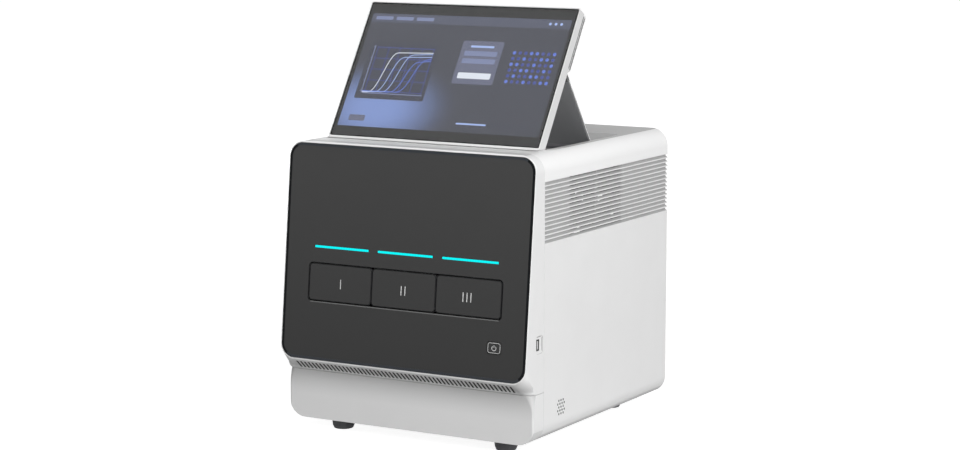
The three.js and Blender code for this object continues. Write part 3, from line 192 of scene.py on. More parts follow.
for lamp in studio["lamps"]:
    bpy.ops.object.light_add(type="AREA", location=lamp["place"])
    softbox = bpy.context.object
    softbox.name = lamp["name"]
    softbox.data.shape = "DISK"
    softbox.data.size = lamp["size"]
    softbox.data.energy = lamp["power"]
    aim = Vector(studio["aim"]) - Vector(lamp["place"])
    softbox.rotation_euler = aim.to_track_quat("-Z", "Y").to_euler()
print("studio lit")


# Finishes. Pattern sizes are real ones in millimetres unless a note says they are drawn coarser.
# Spread is how far the gloss varies to each side, and relief how deep the bump is.
plastic = {"cloudDetail": 3.0, "grainDetail": 2.0, "spread": 0.06, "relief": 0.05}
metal = {"lineDetail": 4.0, "spread": 0.08, "relief": 0.03}


def coatSurface(tree, shader, tone, pattern, look, kind):  # gloss and bump follow one pattern
    gloss = remap(tree, pattern, target=(
        look["roughness"] - kind["spread"], look["roughness"] + kind["spread"]))
    bump = addNode(tree, "ShaderNodeBump", {
        "Strength": look["bump"], "Distance": kind["relief"] * mm, "Height": pattern})
    wire(tree, shader, Base_Color=tone, Roughness=gloss, Normal=bump.outputs[0])


def mouldedPlastic(name, look):
    material, tree, shader, place = startMaterial(
        name, Specular_IOR_Level=look.get("specular", 0.5))
    cloud = blots(tree, place, look["cloud"], plastic["cloudDetail"])
    tone = blend(tree, cloud, look["low"], look["high"])
    # Painted light: each entry paints shade or a highlight, as a tone that takes over between two
    # places
    for code, start, end, axis in look.get("paintedLight", []):  # a tone takes over between two places
        along = addNode(tree, "ShaderNodeSeparateXYZ", {0: place}).outputs[axis]
        tone = blend(tree, remap(tree, along, (start * mm, end * mm)), tone, code)
    grain = blots(tree, place, look["grain"], plastic["grainDetail"])
    coatSurface(tree, shader, tone, grain, look, plastic)
    return material


def sheetMetal(name, look):  # fine lines along one axis, from brushing or drawing
    material, tree, shader, place = startMaterial(name, Metallic=1.0)
    stretched = addNode(tree, "ShaderNodeMapping", {"Vector": place, "Scale": look["stretch"]})
    lines = blots(tree, stretched.outputs[0], look["line"], metal["lineDetail"])
    tone = blend(tree, lines, look["low"], look["high"])
    coatSurface(tree, shader, tone, lines, look, metal)
    return material


# Spark-eroded ABS moulding: a soft even white, its grit drawn at 0.9 mm so that it shows
sparkAbs = {
    "low": "E2E2E2", "high": "E9E9E9", "cloud": 70, "grain": 0.9, "roughness": 0.5, "bump": 0.12}
whiteAbs = mouldedPlastic("spark textured white ABS", sparkAbs)
# The cover's moulding: painted shade where it turns under, and a painted highlight above the
# louvres
coverAbs = mouldedPlastic("spark textured cover ABS with painted shade and highlight", {
    **sparkAbs, "paintedLight": [("4F4F4F", 28, 17, "Z"), ("F1F1F1", 340.8, 342.0, "Z")]})
# Its flat top: a painted highlight in front of the display and a painted shadow of the display
# behind it
topAbs = mouldedPlastic("spark textured top ABS with painted highlight and shadow", {
    **sparkAbs, "low": "EEEEEE", "high": "F3F3F3", "paintedLight": [("B4B4B4", -110, -60, "Y")]})
# The same moulding under the panel's overhang, greyed as painted shade, more towards its top
lowerAbs = mouldedPlastic("spark textured white ABS with painted shade", {
    **sparkAbs, "low": "D3D3D3", "high": "D8D8D8", "paintedLight": [("BCBCBC", 48, 82, "Z")]})
# The same moulding round the panel, with painted shade greying its cove
bezelAbs = mouldedPlastic("spark textured bezel ABS with painted shade", {
    **sparkAbs, "paintedLight": [("C8C8C8", 104, 90, "Z"), ("E8E8E8", 87, 84, "Z")]})
# Painted highlight on lips that catch the light: a bright white edge
lipHighlightAbs = mouldedPlastic("white ABS edge with painted highlight", {
    **sparkAbs, "low": "F5F5F5", "high": "F9F9F9", "roughness": 0.4, "bump": 0.05})
# Joints and edges of grey mouldings: duller than their faces, the edges' grey being painted shade
jointAndShadeAbs = mouldedPlastic("grey ABS of joints and painted shade", {
    "low": "565758", "high": "5C5D5E", "cloud": 40, "grain": 0.7, "roughness": 0.6, "bump": 0.1})
# The display's sides and the bezel's flat top: a greyer white, more satin; the grey is painted
# shade
rimShadeAbs = mouldedPlastic("satin white ABS with painted shade", {
    "low": "D2D2D2", "high": "D8D8D8", "cloud": 60, "grain": 0.9, "roughness": 0.45, "bump": 0.1})
# Hard-coated polycarbonate: a dark satin, with painted shade a little darker towards its foot
panelCoat = mouldedPlastic("satin hard coated polycarbonate with painted shade", {
    "low": "373737", "high": "3B3B3B", "cloud": 90, "grain": 0.6, "roughness": 0.42, "bump": 0.08,
    "specular": 0.25, "paintedLight": [("2C2C2C", 345, 110, "Z")]})
# Black ABS of small mouldings: matte, with a fine even grain; also black painted shade in gaps and
# holes
blackAbsAndShade = mouldedPlastic("matte black ABS, also painted shade", {
    "low": "222224", "high": "2B2B2D", "cloud": 25, "grain": 0.5, "roughness": 0.55, "bump": 0.15})
# Silicone rubber: dull and slightly dusty
footRubber = mouldedPlastic("moulded silicone rubber", {
    "low": "57575A", "high": "626265", "cloud": 12, "grain": 0.7, "roughness": 0.82, "bump": 0.3})
# Grey ABS of the stand: satin, with painted shade darker towards its foot
standAbs = mouldedPlastic("satin grey ABS with painted shade", {
    "low": "868789", "high": "8F9092", "cloud": 60, "grain": 0.7, "roughness": 0.5, "bump": 0.12,
    "paintedLight": [("727375", 450, 362, "Z")]})
# Powder coat on steel: light grey with an orange-peel skin
powderCoat = mouldedPlastic("light grey powder coat", {
    "low": "C4C5C6", "high": "CDCECF", "cloud": 45, "grain": 1.6, "roughness": 0.48, "bump": 0.5})
# Black enamel of the motors: slightly glossy
motorEnamel = mouldedPlastic("black stove enamel", {
    "low": "1B1B1C", "high": "222223", "cloud": 15, "grain": 1.1, "roughness": 0.35, "bump": 0.3})

# Brushed aluminium sheet: fine lines from front to back
brushedAluminium = sheetMetal("brushed aluminium sheet", {
    "low": "B4B6B9", "high": "CFD1D3", "line": 0.5, "stretch": (1, 0.02, 1),
    "roughness": 0.34, "bump": 0.25})
# Bead-blasted aluminium: an even dull sparkle
blastedAluminium = sheetMetal("bead blasted cast aluminium", {
    "low": "B9BBBE", "high": "C9CBCD", "line": 0.5, "stretch": (1, 1, 1),
    "roughness": 0.45, "bump": 0.5})
# Ground steel: bright, with faint turning lines
groundSteel = sheetMetal("ground bright steel", {
    "low": "B9BABB", "high": "D6D7D8", "line": 0.35, "stretch": (0.05, 1, 1),
    "roughness": 0.2, "bump": 0.15})


def zincSheet():  # zinc-coated steel: pale crystals about 9 mm across
    material, tree, shader, place = startMaterial("zinc coated steel sheet", Metallic=0.9)
    crystals = addNode(tree, "ShaderNodeTexVoronoi", {
        "Vector": place, "Scale": 1 / (9 * mm)}).outputs["Color"]
    wire(tree, shader, Base_Color=blend(tree, crystals, "A4A7AA", "C3C6C8"),
         Roughness=remap(tree, crystals, target=(0.32, 0.48)))
    return material


def solderMask():  # printed circuit board: green lacquer over slightly raised tracks
    material, tree, shader, place = startMaterial(
        "green solder mask over copper tracks", Roughness=0.35)
    tracks = addNode(tree, "ShaderNodeTexBrick", {
        "Vector": place, "Scale": 1 / (12 * mm), "Mortar Size": 0.05, "Mortar Smooth": 0.1,
        "Color1": hexColour("17492D"), "Color2": hexColour("1A5033"),
        "Mortar": hexColour("2A6B45")})
    bump = addNode(tree, "ShaderNodeBump", {
        "Strength": 0.3, "Distance": 0.05 * mm, "Height": tracks.outputs["Fac"]})
    wire(tree, shader, Base_Color=tracks.outputs["Color"], Normal=bump.outputs[0])
    return material


def litGuide():  # acrylic light guide: cyan to the front, stronger over the diodes, 6 mm apart
    material, tree, shader, place = startMaterial(
        "lit frosted acrylic", Roughness=0.5, Specular_IOR_Level=0.1, Emission_Strength=1.0,
        Base_Color=(0, 0.02, 0.02, 1))
    diodes = addNode(tree, "ShaderNodeTexWave", {
        "Vector": place, "Scale": 1 / (2 * 6 * mm)}, bands_direction="X").outputs[1]
    cyan = blend(tree, diodes, "00F4FA", "00FFFF")
    facing = addNode(tree, "ShaderNodeSeparateXYZ", {
        0: addNode(tree, "ShaderNodeNewGeometry").outputs["Normal"]}).outputs["Y"]
    front = remap(tree, facing, (-0.2, -0.7))  # from faces turned aside to faces turned forward
    wire(tree, shader, Emission_Color=blend(tree, front, "001414", cyan))
    return material


def coverGlass():  # clear hardened glass: sharp reflections, faint smears in the gloss
    material, tree, shader, place = startMaterial(
        "clear hardened glass", Transmission_Weight=1.0, IOR=1.45, Base_Color=(0.93, 0.94, 0.95, 1))
    wire(tree, shader, Roughness=remap(tree, blots(tree, place, 30), target=(0.0, 0.02)))
    return material


# The display's glass and lit area, in millimetres up and forward from the hinge axis
display = {
    "hinge": (0, -109.099, 364.9),
    "lean": math.radians(32.6),
    "glassForward": 11.4,
    "glassFoot": 7.9,
    "glassTop": 203.4,
    "glassHalf": 153.45,
    "litHalf": 147.6,
    "litFoot": 22.7,
    "litTop": 187.9,
}
# Backlit film: slate blue, with a pale oval glow low on the left
filmGlow = {"middle": (-98, 0, 50), "squash": (0.62, 0, 1), "reach": (5, 80), "cloud": 45}
litPixels = {  # what all lit pixels share: their glow alone, on a nearly black ground
    "Roughness": 0.6, "Specular_IOR_Level": 0.0, "Emission_Strength": 1.0,
    "Base_Color": (0.01, 0.01, 0.012, 1)}


def litFilm():
    material, tree, shader, place = startMaterial("backlit display film", **litPixels)
    hinge = Vector(display["hinge"]) * mm
    upright = addNode(tree, "ShaderNodeVectorRotate", {
        "Vector": place, "Center": hinge, "Axis": (1, 0, 0), "Angle": display["lean"]},
        rotation_type="AXIS_ANGLE")
    fromGlow = addNode(tree, "ShaderNodeVectorMath", {
        0: upright.outputs[0], 1: hinge + Vector(filmGlow["middle"]) * mm}, operation="SUBTRACT")
    oval = addNode(tree, "ShaderNodeVectorMath", {
        0: fromGlow.outputs[0], 1: filmGlow["squash"]}, operation="MULTIPLY")
    distance = addNode(tree, "ShaderNodeVectorMath", {
        0: oval.outputs[0]}, operation="LENGTH").outputs["Value"]
    fade = remap(tree, distance, [reach * mm for reach in filmGlow["reach"]], (1.0, 0.0),
                 interpolation_type="SMOOTHERSTEP")
    slate = blend(tree, blots(tree, place, filmGlow["cloud"]), "383A45", "3C3E4A")
    wire(tree, shader, Emission_Color=blend(tree, fade, slate, "7C93CC"))
    return material


slotFinish = {
    "white_shell": whiteAbs, "dark_panel": panelCoat, "dark_plastic": blackAbsAndShade,
    "light_guide": litGuide(), "foot_rubber": footRubber, "sheet_steel": powderCoat,
    "tray_aluminium": brushedAluminium, "cast_aluminium": blastedAluminium,
    "polished_steel": groundSteel, "motor_black": motorEnamel, "supply_case": zincSheet(),
    "circuit_green": solderMask(), "display_glass": coverGlass(), "screen_film": litFilm(),
    "stand_grey": standAbs,
}
for name, node in nodes.items():
    node.data.materials.clear()
    node.data.materials.append(slotFinish[nodeSlot[name]])
print("finishes made for", len(nodes), "nodes")


# Working tools for the pieces, which are made in millimetres and then settled in place
def chooseOnly(piece):
    if bpy.context.object and bpy.context.object.mode != "OBJECT":
        bpy.ops.object.mode_set(mode="OBJECT")
    bpy.ops.object.select_all(action="DESELECT")
    piece.select_set(True)
    bpy.context.view_layer.objects.active = piece


def editAll(piece, select=True):
    chooseOnly(piece)
    bpy.ops.object.mode_set(mode="EDIT")
    bpy.ops.mesh.select_mode(type="FACE")
    bpy.ops.mesh.select_all(action="SELECT" if select else "DESELECT")


def pickFaces(piece, test):  # edit mode, with the faces whose centre and normal pass the test
    editAll(piece, select=False)
    bpy.ops.object.mode_set(mode="OBJECT")
    for face in piece.data.polygons:
        face.select = test(face.center, face.normal)
    bpy.ops.object.mode_set(mode="EDIT")


def bothCaps(centre, normal):
    return abs(normal.z) > 0.9


def topCap(centre, normal):
    return normal.z > 0.9


def leaveEdit(piece):
    bpy.ops.object.mode_set(mode="EDIT")
    bpy.ops.mesh.select_all(action="SELECT")
    bpy.ops.mesh.normals_make_consistent(inside=False)
    bpy.ops.object.mode_set(mode="OBJECT")


def bakePlace():  # puts the chosen piece's place into its mesh
    bpy.ops.object.transform_apply(location=True, rotation=True, scale=True)


def useModifier(piece, kind, **settings):
    chooseOnly(piece)
    modifier = piece.modifiers.new(kind.title(), kind)
    for name, value in settings.items():
        setattr(modifier, name, value)
    bpy.ops.object.modifier_apply(modifier=modifier.name)


def startPlate(name, width, height, thickness, corner=0.0, across=0.0, up=0.0, steps=5):
    bpy.ops.mesh.primitive_plane_add(size=1, location=(across, up, 0))
    piece = bpy.context.object
    piece.name = name
    piece.scale = (width, height, 1)
    bakePlace()
    editAll(piece)
    if corner:
        bpy.ops.mesh.bevel(offset=corner, segments=steps, affect="VERTICES")
        bpy.ops.mesh.select_all(action="SELECT")
    bpy.ops.mesh.extrude_region_move(TRANSFORM_OT_translate={"value": (0, 0, thickness)})
    leaveEdit(piece)
    return piece


def hollowOut(piece, line):  # turns a plate or disc into a ring of one line width
    pickFaces(piece, bothCaps)
    bpy.ops.mesh.inset(thickness=line, use_individual=True)
    bpy.ops.mesh.bridge_edge_loops()
    leaveEdit(piece)
    return piece


def startRing(name, width, height, line, thickness, corner, steps=6):
    return hollowOut(startPlate(name, width, height, thickness, corner, steps=steps), line)


def startDisc(name, radius, thickness, across=0.0, up=0.0, sides=32):
    bpy.ops.mesh.primitive_circle_add(
        vertices=sides, radius=radius, fill_type="NGON", location=(across, up, 0))
    piece = bpy.context.object
    piece.name = name
    bakePlace()
    editAll(piece)
    bpy.ops.mesh.extrude_region_move(TRANSFORM_OT_translate={"value": (0, 0, thickness)})
    leaveEdit(piece)
    return piece


def joinAll(name, pieces):
    chooseOnly(pieces[0])
    for piece in pieces[1:]:
        piece.select_set(True)
    if len(pieces) > 1:
        bpy.ops.object.join()
    pieces[0].name = name
    return pieces[0]


def settle(piece, place, body, material, smooth=35):
    chooseOnly(piece)
    piece.matrix_world = place @ piece.matrix_world
    bakePlace()
    bpy.ops.object.shade_smooth_by_angle(angle=math.radians(smooth))
    piece.data.materials.clear()
    piece.data.materials.append(material)
    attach(piece, body)
    return piece


def repeatAt(piece, spots):  # copies of one piece at several spots, joined
    copies = []
    for across, up in spots[1:]:
        chooseOnly(piece)
        bpy.ops.object.duplicate()
        bpy.context.object.location = (across, up, 0)
        copies.append(bpy.context.object)
    piece.location = (*spots[0], 0)
    joinAll(piece.name, [piece] + copies)
    bakePlace()
    return piece


def shadeFaces(piece, material, test):  # another finish where centre and normal pass the test
    piece.data.materials.append(material)
    index = len(piece.data.materials) - 1
    for face in piece.data.polygons:
        if test(face.center, face.normal):
            face.material_index = index


def stepFace(piece, rim, width, depth):  # a small step in the top face, inside its rim
    pickFaces(piece, topCap)
    bpy.ops.mesh.inset(thickness=rim)
    bpy.ops.mesh.inset(thickness=width, depth=-depth)
    leaveEdit(piece)


# Places in the row frame, given in millimetres
rowPlace = Matrix.Scale(mm, 4)
overFace = 0.02  # keeps a print off the face behind it
panel = {"lean": math.radians(5.9), "topDepth": -165.699, "topHeight": 372.1, "recess": 0.4}
bothSides = ((1, "right"), (-1, "left"))


def turnedBy(degrees, axis):
    return Matrix.Rotation(math.radians(degrees), 4, axis)


def leaningPlace(lean, origin, turned=0):  # Z out of a face: 0 front, 90 right side, 180 rear
    sine, cosine = math.sin(lean), math.cos(lean)
    axes = Matrix(((1, 0, 0, 0), (0, sine, -cosine, 0), (0, cosine, sine, 0), (0, 0, 0, 1)))
    return rowPlace @ Matrix.Translation(origin) @ turnedBy(turned, "Z") @ axes


def panelPlace(across, height):  # a spot on the front panel's face
    sine, cosine = math.sin(panel["lean"]), math.cos(panel["lean"])
    down = (panel["topHeight"] - height) / cosine
    behind = panel["recess"] - overFace
    origin = (across, panel["topDepth"] - down * sine + behind * cosine, height - behind * sine)
    return leaningPlace(panel["lean"], origin)


def displayPlace(across, up, forward):  # a spot in front of the display's hinge axis
    sine, cosine = math.sin(display["lean"]), math.cos(display["lean"])
    origin = Vector(display["hinge"]) + Vector((
        across, up * sine - forward * cosine, up * cosine + forward * sine))
    return leaningPlace(display["lean"], origin)


# Curved shells: a merged copy of the CAD node, smoothed, with its edges softened
shellWork = {"merge": 0.01, "flatAngle": 0.5, "edgeAngle": 35, "steps": 2, "weight": 60}


def dressNode(name, edge):
    edgeAngle = math.radians(shellWork["edgeAngle"])
    copy = nodes[name].copy()
    copy.data = nodes[name].data.copy()
    copy.name = name + "_shell"
    copy.parent = None
    del copy["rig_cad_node"]
    bpy.context.scene.collection.objects.link(copy)
    editAll(copy)
    bpy.ops.mesh.remove_doubles(threshold=shellWork["merge"] * mm)
    bpy.ops.mesh.dissolve_limited(angle_limit=math.radians(shellWork["flatAngle"]))
    bpy.ops.object.mode_set(mode="OBJECT")
    if edge:
        useModifier(copy, "BEVEL", width=edge * mm, segments=shellWork["steps"],
                    limit_method="ANGLE", angle_limit=edgeAngle, use_clamp_overlap=True,
                    miter_outer="MITER_ARC")
    chooseOnly(copy)
    bpy.ops.object.shade_smooth_by_angle(angle=edgeAngle)
    useModifier(copy, "WEIGHTED_NORMAL", weight=shellWork["weight"], keep_sharp=True)
    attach(copy, nodeBody[name])
    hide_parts(name)
    return copy


shells = {  # each with its edge's width
    "main_cover": 0.0, "front_bezel": 0.0, "lower_front_cover": 0.4, "front_panel": 0.25,
    "drawer_front_1": 0.3, "drawer_front_2": 0.3, "drawer_front_3": 0.3, "power_button": 0.25,
    "display_frame": 0.0, "display_back_cover": 0.4, "display_stand": 0.5,
    "foot_1": 0.8, "foot_2": 0.8, "foot_3": 0.8, "foot_4": 0.8,
}
dressed = {name: dressNode(name, edge) for name, edge in shells.items()}
print("shells smoothed:", len(shells))

# Louvres and port recess: painted shade greys the white on walls that turn away from the light
shadeLook = {"cloud": 40, "grain": 0.9, "roughness": 0.6, "bump": 0.12}
grooveShadeAbs = mouldedPlastic("white ABS with painted groove shade", {
    **shadeLook, "low": "A8A8A8", "high": "AEAEAE"})
ledgeShadeAbs = mouldedPlastic("white ABS with lighter painted shade", {
    **shadeLook, "low": "B5B5B5", "high": "BBBBBB"})

# Where the shells take their painted shade and highlight finishes, in millimetres. A face's normal
# tells where it looks, and a later entry of the list goes over an earlier one.
zones = {
    "louvreDepths": (176.05, 179.9),
    "louvreHeights": (263.5, 340.8),
    "louvreSlope": 0.3,
    "portDepths": (179.05, 179.95),
    "portHeights": (130, 154),
    "coveTop": 104,
    "lipFront": -193,
    "lipHeights": (95, 100),
    "bezelEdge": 373,
    "frameEdge": 368,
    "topFoot": 355,
    "recessHalf": 165,
    "recessHeights": (355, 374),
    "recessBack": 120,
    "faceOn": 0.97,  # the normal's share along an axis of a face that looks straight along it
}


def between(value, ends):
    return ends[0] * mm < value < ends[1] * mm


def inLouvres(centre):
    return (between(abs(centre.x), zones["louvreDepths"])
            and between(centre.z, zones["louvreHeights"]))


def onTop(centre, normal):
    return normal.z > zones["faceOn"] and centre.z > zones["topFoot"] * mm


shading = [
    # Painted shade on the louvres' groove walls, lighter painted shade on their ledges
    ("main_cover", grooveShadeAbs, lambda centre, normal: inLouvres(centre)),
    ("main_cover", ledgeShadeAbs, lambda centre, normal: (
        inLouvres(centre) and normal.z > zones["louvreSlope"])),
    # Painted shade on the walls of the port's recess
    ("front_bezel", ledgeShadeAbs, lambda centre, normal: (
        between(centre.x, zones["portDepths"]) and between(centre.z, zones["portHeights"])
        and abs(normal.x) < 0.5)),
    # Painted shade on the display's sides, on its frame and back cover
    ("display_frame", rimShadeAbs, lambda centre, normal: abs(normal.x) > 0.8),
    ("display_back_cover", rimShadeAbs, lambda centre, normal: abs(normal.x) > 0.5),
    # Painted shade on the lower cover's front, under the panel's overhang
    ("lower_front_cover", lowerAbs, lambda centre, normal: abs(normal.x) < zones["faceOn"]),
    # Painted shade in the bezel's cove
    ("front_bezel", bezelAbs, lambda centre, normal: (
        abs(normal.x) < zones["faceOn"] and centre.z < zones["coveTop"] * mm)),
    # Painted highlight on the lip under the panel and on the bezel's top edge
    ("front_bezel", lipHighlightAbs, lambda centre, normal: (
        normal.y < -0.77 and centre.y < zones["lipFront"] * mm
        and between(centre.z, zones["lipHeights"])
        or normal.y < -0.5 and normal.z > 0.5 and centre.z > zones["bezelEdge"] * mm)),
    # Painted highlight along the display frame's foot
    ("display_frame", lipHighlightAbs, lambda centre, normal: (
        normal.y < -0.4 and normal.z < -0.7 and centre.z > zones["frameEdge"] * mm)),
    # Painted highlight and painted shadow of the display on the cover's flat top
    ("main_cover", topAbs, onTop),
    # Painted shade on the walls of the recess behind the display
    ("main_cover", ledgeShadeAbs, lambda centre, normal: (
        abs(normal.z) < 0.5 and abs(centre.x) < zones["recessHalf"] * mm
        and between(centre.z, zones["recessHeights"]) and centre.y < zones["recessBack"] * mm)),
    # Painted shade on the bezel's flat top
    ("front_bezel", rimShadeAbs, onTop),
    # Painted shade on the stand's side faces
    ("display_stand", jointAndShadeAbs, lambda centre, normal: abs(normal.x) > 0.9),
]
# Painted shade in the drawers' gaps: the fronts' sides and undersides in black
for number in (1, 2, 3):
    shading.append((f"drawer_front_{number}", blackAbsAndShade, lambda centre, normal: (
        abs(normal.x) > 0.25 or normal.z < -0.4)))
# The cover and the lower front cover take the moulding with its painted shade and highlight
for name in ("main_cover", "lower_front_cover"):
    dressed[name].data.materials[0] = coverAbs
for name, material, test in shading:
    shadeFaces(dressed[name], material, test)
print("grooves dulled")


# Numerals on the drawers, and the mark on the power button: pale matt ink
inkPaint = mouldedPlastic("pale grey screen ink", {
    "low": "D2D2D2", "high": "DEDEDE", "cloud": 6, "grain": 0.4, "roughness": 0.5, "bump": 0.2})
numerals = {"height": 196.95, "tall": 11.7, "stroke": 1.1, "depth": 0.1, "corner": 0.25,
            "spacing": 5.6, "places": (-93.3, -0.3, 92.0)}
for number, across in enumerate(numerals["places"], start=1):
    strokes = [
        startPlate("stroke", numerals["stroke"], numerals["tall"], numerals["depth"],
                   numerals["corner"], (index - (number - 1) / 2) * numerals["spacing"])
        for index in range(number)
    ]
    settle(joinAll(f"drawer_numeral_{number}", strokes), panelPlace(across, numerals["height"]),
           f"drawer_{number}", inkPaint)

powerMark = {"across": 133.6, "height": 138.9, "width": 17.5, "tall": 12.6, "line": 0.5,
             "corner": 3.0, "depth": 0.1, "ring": 3.3, "ringUp": -0.3, "ringLine": 0.65,
             "ringEnd": 1.9, "tick": 3.2, "tickCorner": 0.15}
border = startRing("border", powerMark["width"], powerMark["tall"], powerMark["line"],
                   powerMark["depth"], powerMark["corner"])
ringPiece = startDisc("ring", powerMark["ring"], powerMark["depth"], up=powerMark["ringUp"])
hollowOut(ringPiece, powerMark["ringLine"])
pickFaces(ringPiece, lambda centre, normal: centre.y > powerMark["ringEnd"])  # opens its top
bpy.ops.mesh.delete(type="FACE")
bpy.ops.mesh.select_mode(type="EDGE")
bpy.ops.mesh.select_all(action="DESELECT")
bpy.ops.mesh.select_non_manifold()
bpy.ops.mesh.edge_face_add()
leaveEdit(ringPiece)
tick = startPlate("tick", powerMark["ringLine"], powerMark["tick"], powerMark["depth"],
                  powerMark["tickCorner"], up=powerMark["ringEnd"])
settle(joinAll("power_mark", [border, ringPiece, tick]),
       panelPlace(powerMark["across"], powerMark["height"]), "button", inkPaint)
print("numerals and power mark printed")

# Panel marks: a black edge all round, painted shade on both sides of the drawers' gaps, and a line
# under them.
# The acrylic edge is a deep polished black as painted shade, and blue grey as a painted highlight
# where it catches light.
acrylicEdge = {"cloud": 40, "grain": 0.5, "roughness": 0.35, "bump": 0.03, "specular": 0.1}
shadeBlack = mouldedPlastic("polished black painted shade", {
    **acrylicEdge, "low": "08090B", "high": "0C0E11"})
edgeHighlightGrey = mouldedPlastic("blue grey painted highlight on acrylic edge", {
    **acrylicEdge, "low": "35383C", "high": "3A3D41"})
smoothPrint = {"cloud": 30, "grain": 0.5, "roughness": 0.5, "bump": 0.05}
# Painted highlight line: an even mid grey, neither matt nor glossy
sillHighlightPaint = mouldedPlastic("mid grey painted highlight line", {
    **smoothPrint, "low": "606060", "high": "686868"})


def shadeRing(name, trim, across, body):
    ring = startRing(name, trim["width"], trim["tall"], trim["line"], trim["depth"],
                     trim["corner"], trim["steps"])
    return settle(ring, panelPlace(across, trim["middle"]), body, shadeBlack)


panelEdgeShading = {"middle": 235.33, "width": 356.6, "tall": 274.4, "line": 3.2, "corner": 18.2,
             "depth": 0.12, "steps": 10, "highlightFoot": 103, "highlightTop": 368}
shadeFaces(shadeRing("panel_edge", panelEdgeShading, 0, "casing"), edgeHighlightGrey, lambda centre, normal: (
    centre.z < panelEdgeShading["highlightFoot"] * mm or centre.z > panelEdgeShading["highlightTop"] * mm))
# Painted shade: black rings along both sides of the drawers' gaps
drawerGapShade = {"middle": 197.66, "pitch": 94, "width": 92.5, "tall": 46.5, "line": 0.65,
              "corner": 4.4, "depth": 0.05, "steps": 6}
for number in (1, 2, 3):
    shadeRing(f"drawer_gap_shade_{number}", drawerGapShade, (number - 2) * drawerGapShade["pitch"],
             f"drawer_{number}")
openingGapShade = {"middle": 197.5, "width": 284.4, "tall": 50.4, "line": 0.6, "corner": 5.7,
               "depth": 0.05, "steps": 6}
shadeRing("opening_gap_shade", openingGapShade, 0, "casing")
sillHighlight = {"width": 276, "tall": 1.1, "height": 172.3, "depth": 0.08, "corner": 0.4}
sill = startPlate("drawer_sill_highlight", sillHighlight["width"], sillHighlight["tall"], sillHighlight["depth"],
                  sillHighlight["corner"])
settle(sill, panelPlace(0, sillHighlight["height"]), "casing", sillHighlightPaint)

# Painted shade: a black insert in each slot of the cove, its flange just over the slot's edge
coveSlotShade = {"count": 55, "pitch": 5.8, "width": 3.0, "tall": 15.0, "depth": 0.3,
               "corner": 0.6, "proud": 0.03, "lean": math.radians(-49.27),
               "middle": (0, -184.393, 88.645)}
insert = startPlate("cove_slot_shade", coveSlotShade["width"], coveSlotShade["tall"],
                    coveSlotShade["depth"], coveSlotShade["corner"])
chooseOnly(insert)
insert.location.x = -(coveSlotShade["count"] - 1) / 2 * coveSlotShade["pitch"]
bakePlace()
useModifier(insert, "ARRAY", count=coveSlotShade["count"], use_relative_offset=False,
            use_constant_offset=True, constant_offset_displace=(coveSlotShade["pitch"], 0, 0))
outwards = Vector((0, -math.cos(coveSlotShade["lean"]), math.sin(coveSlotShade["lean"])))
coveFace = Vector(coveSlotShade["middle"]) + outwards * (coveSlotShade["proud"] - coveSlotShade["depth"])
settle(insert, leaningPlace(coveSlotShade["lean"], coveFace), "casing", shadeBlack)
print("panel trimmed and cove screened")

# Right side: painted shade as black dots over the speaker holes, painted shade on the port's rim
# and throat, and the port's tongue
speaker = {"middle": (180.0, -102.4, 54.4), "rows": (3, 4, 3, 4, 3), "rowPitch": 4.2,
           "pitch": 5.6, "radius": 1.5, "proud": 0.005}
dots = [((index - (count - 1) / 2) * speaker["pitch"],
         (len(speaker["rows"]) // 2 - row) * speaker["rowPitch"])
        for row, count in enumerate(speaker["rows"]) for index in range(count)]
holeShade = startDisc("speaker_hole_shade", speaker["radius"], speaker["proud"], sides=16)
settle(repeatAt(holeShade, dots), leaningPlace(0, speaker["middle"], 90),
       "casing", blackAbsAndShade)

port = {
    "middle": (179.0, -161.5, 142.2),
    "rim": (7.2, 13.9, 1.6, 0.04, 1.2),  # width, height, line, depth and corner
    "throat": (4.3, 11.8, 0.1),
    "throatSink": 2.48,
    "tongue": (1.8, 10.4, 2.2, 0.2),
    "tongueLift": 0.12,
}
rimPlace = leaningPlace(0, port["middle"], 90)
throatPlace = leaningPlace(0, Vector(port["middle"]) - Vector((port["throatSink"], 0, 0)), 90)
# Painted shade at the port's rim and in its throat
settle(startRing("port_rim_shade", *port["rim"]), rimPlace, "casing", shadeBlack)
settle(startPlate("port_throat_shade", *port["throat"]), throatPlace, "casing", blackAbsAndShade)
settle(startPlate("port_tongue", *port["tongue"]),
       throatPlace @ Matrix.Translation((0, 0, port["tongueLift"])),
       "casing", inkPaint)
# Painted shade in the recess round the port, at its right and at its top
recessShade = {
    "aside": 2.6, "depth": 0.03, "corner": 0.6,
    "strips": ((1.7, 17, 7.5, 0.0), (12, 1.7, -0.5, 10.3)),  # width, height, across and up
}
strips = [
    startPlate("strip", width, height, recessShade["depth"], recessShade["corner"], across, up)
    for width, height, across, up in recessShade["strips"]]
settle(joinAll("port_recess_shade", strips),
       rimPlace @ Matrix.Translation((recessShade["aside"], 0, 0)),
       "casing", grooveShadeAbs)
print("speaker and port detailed")


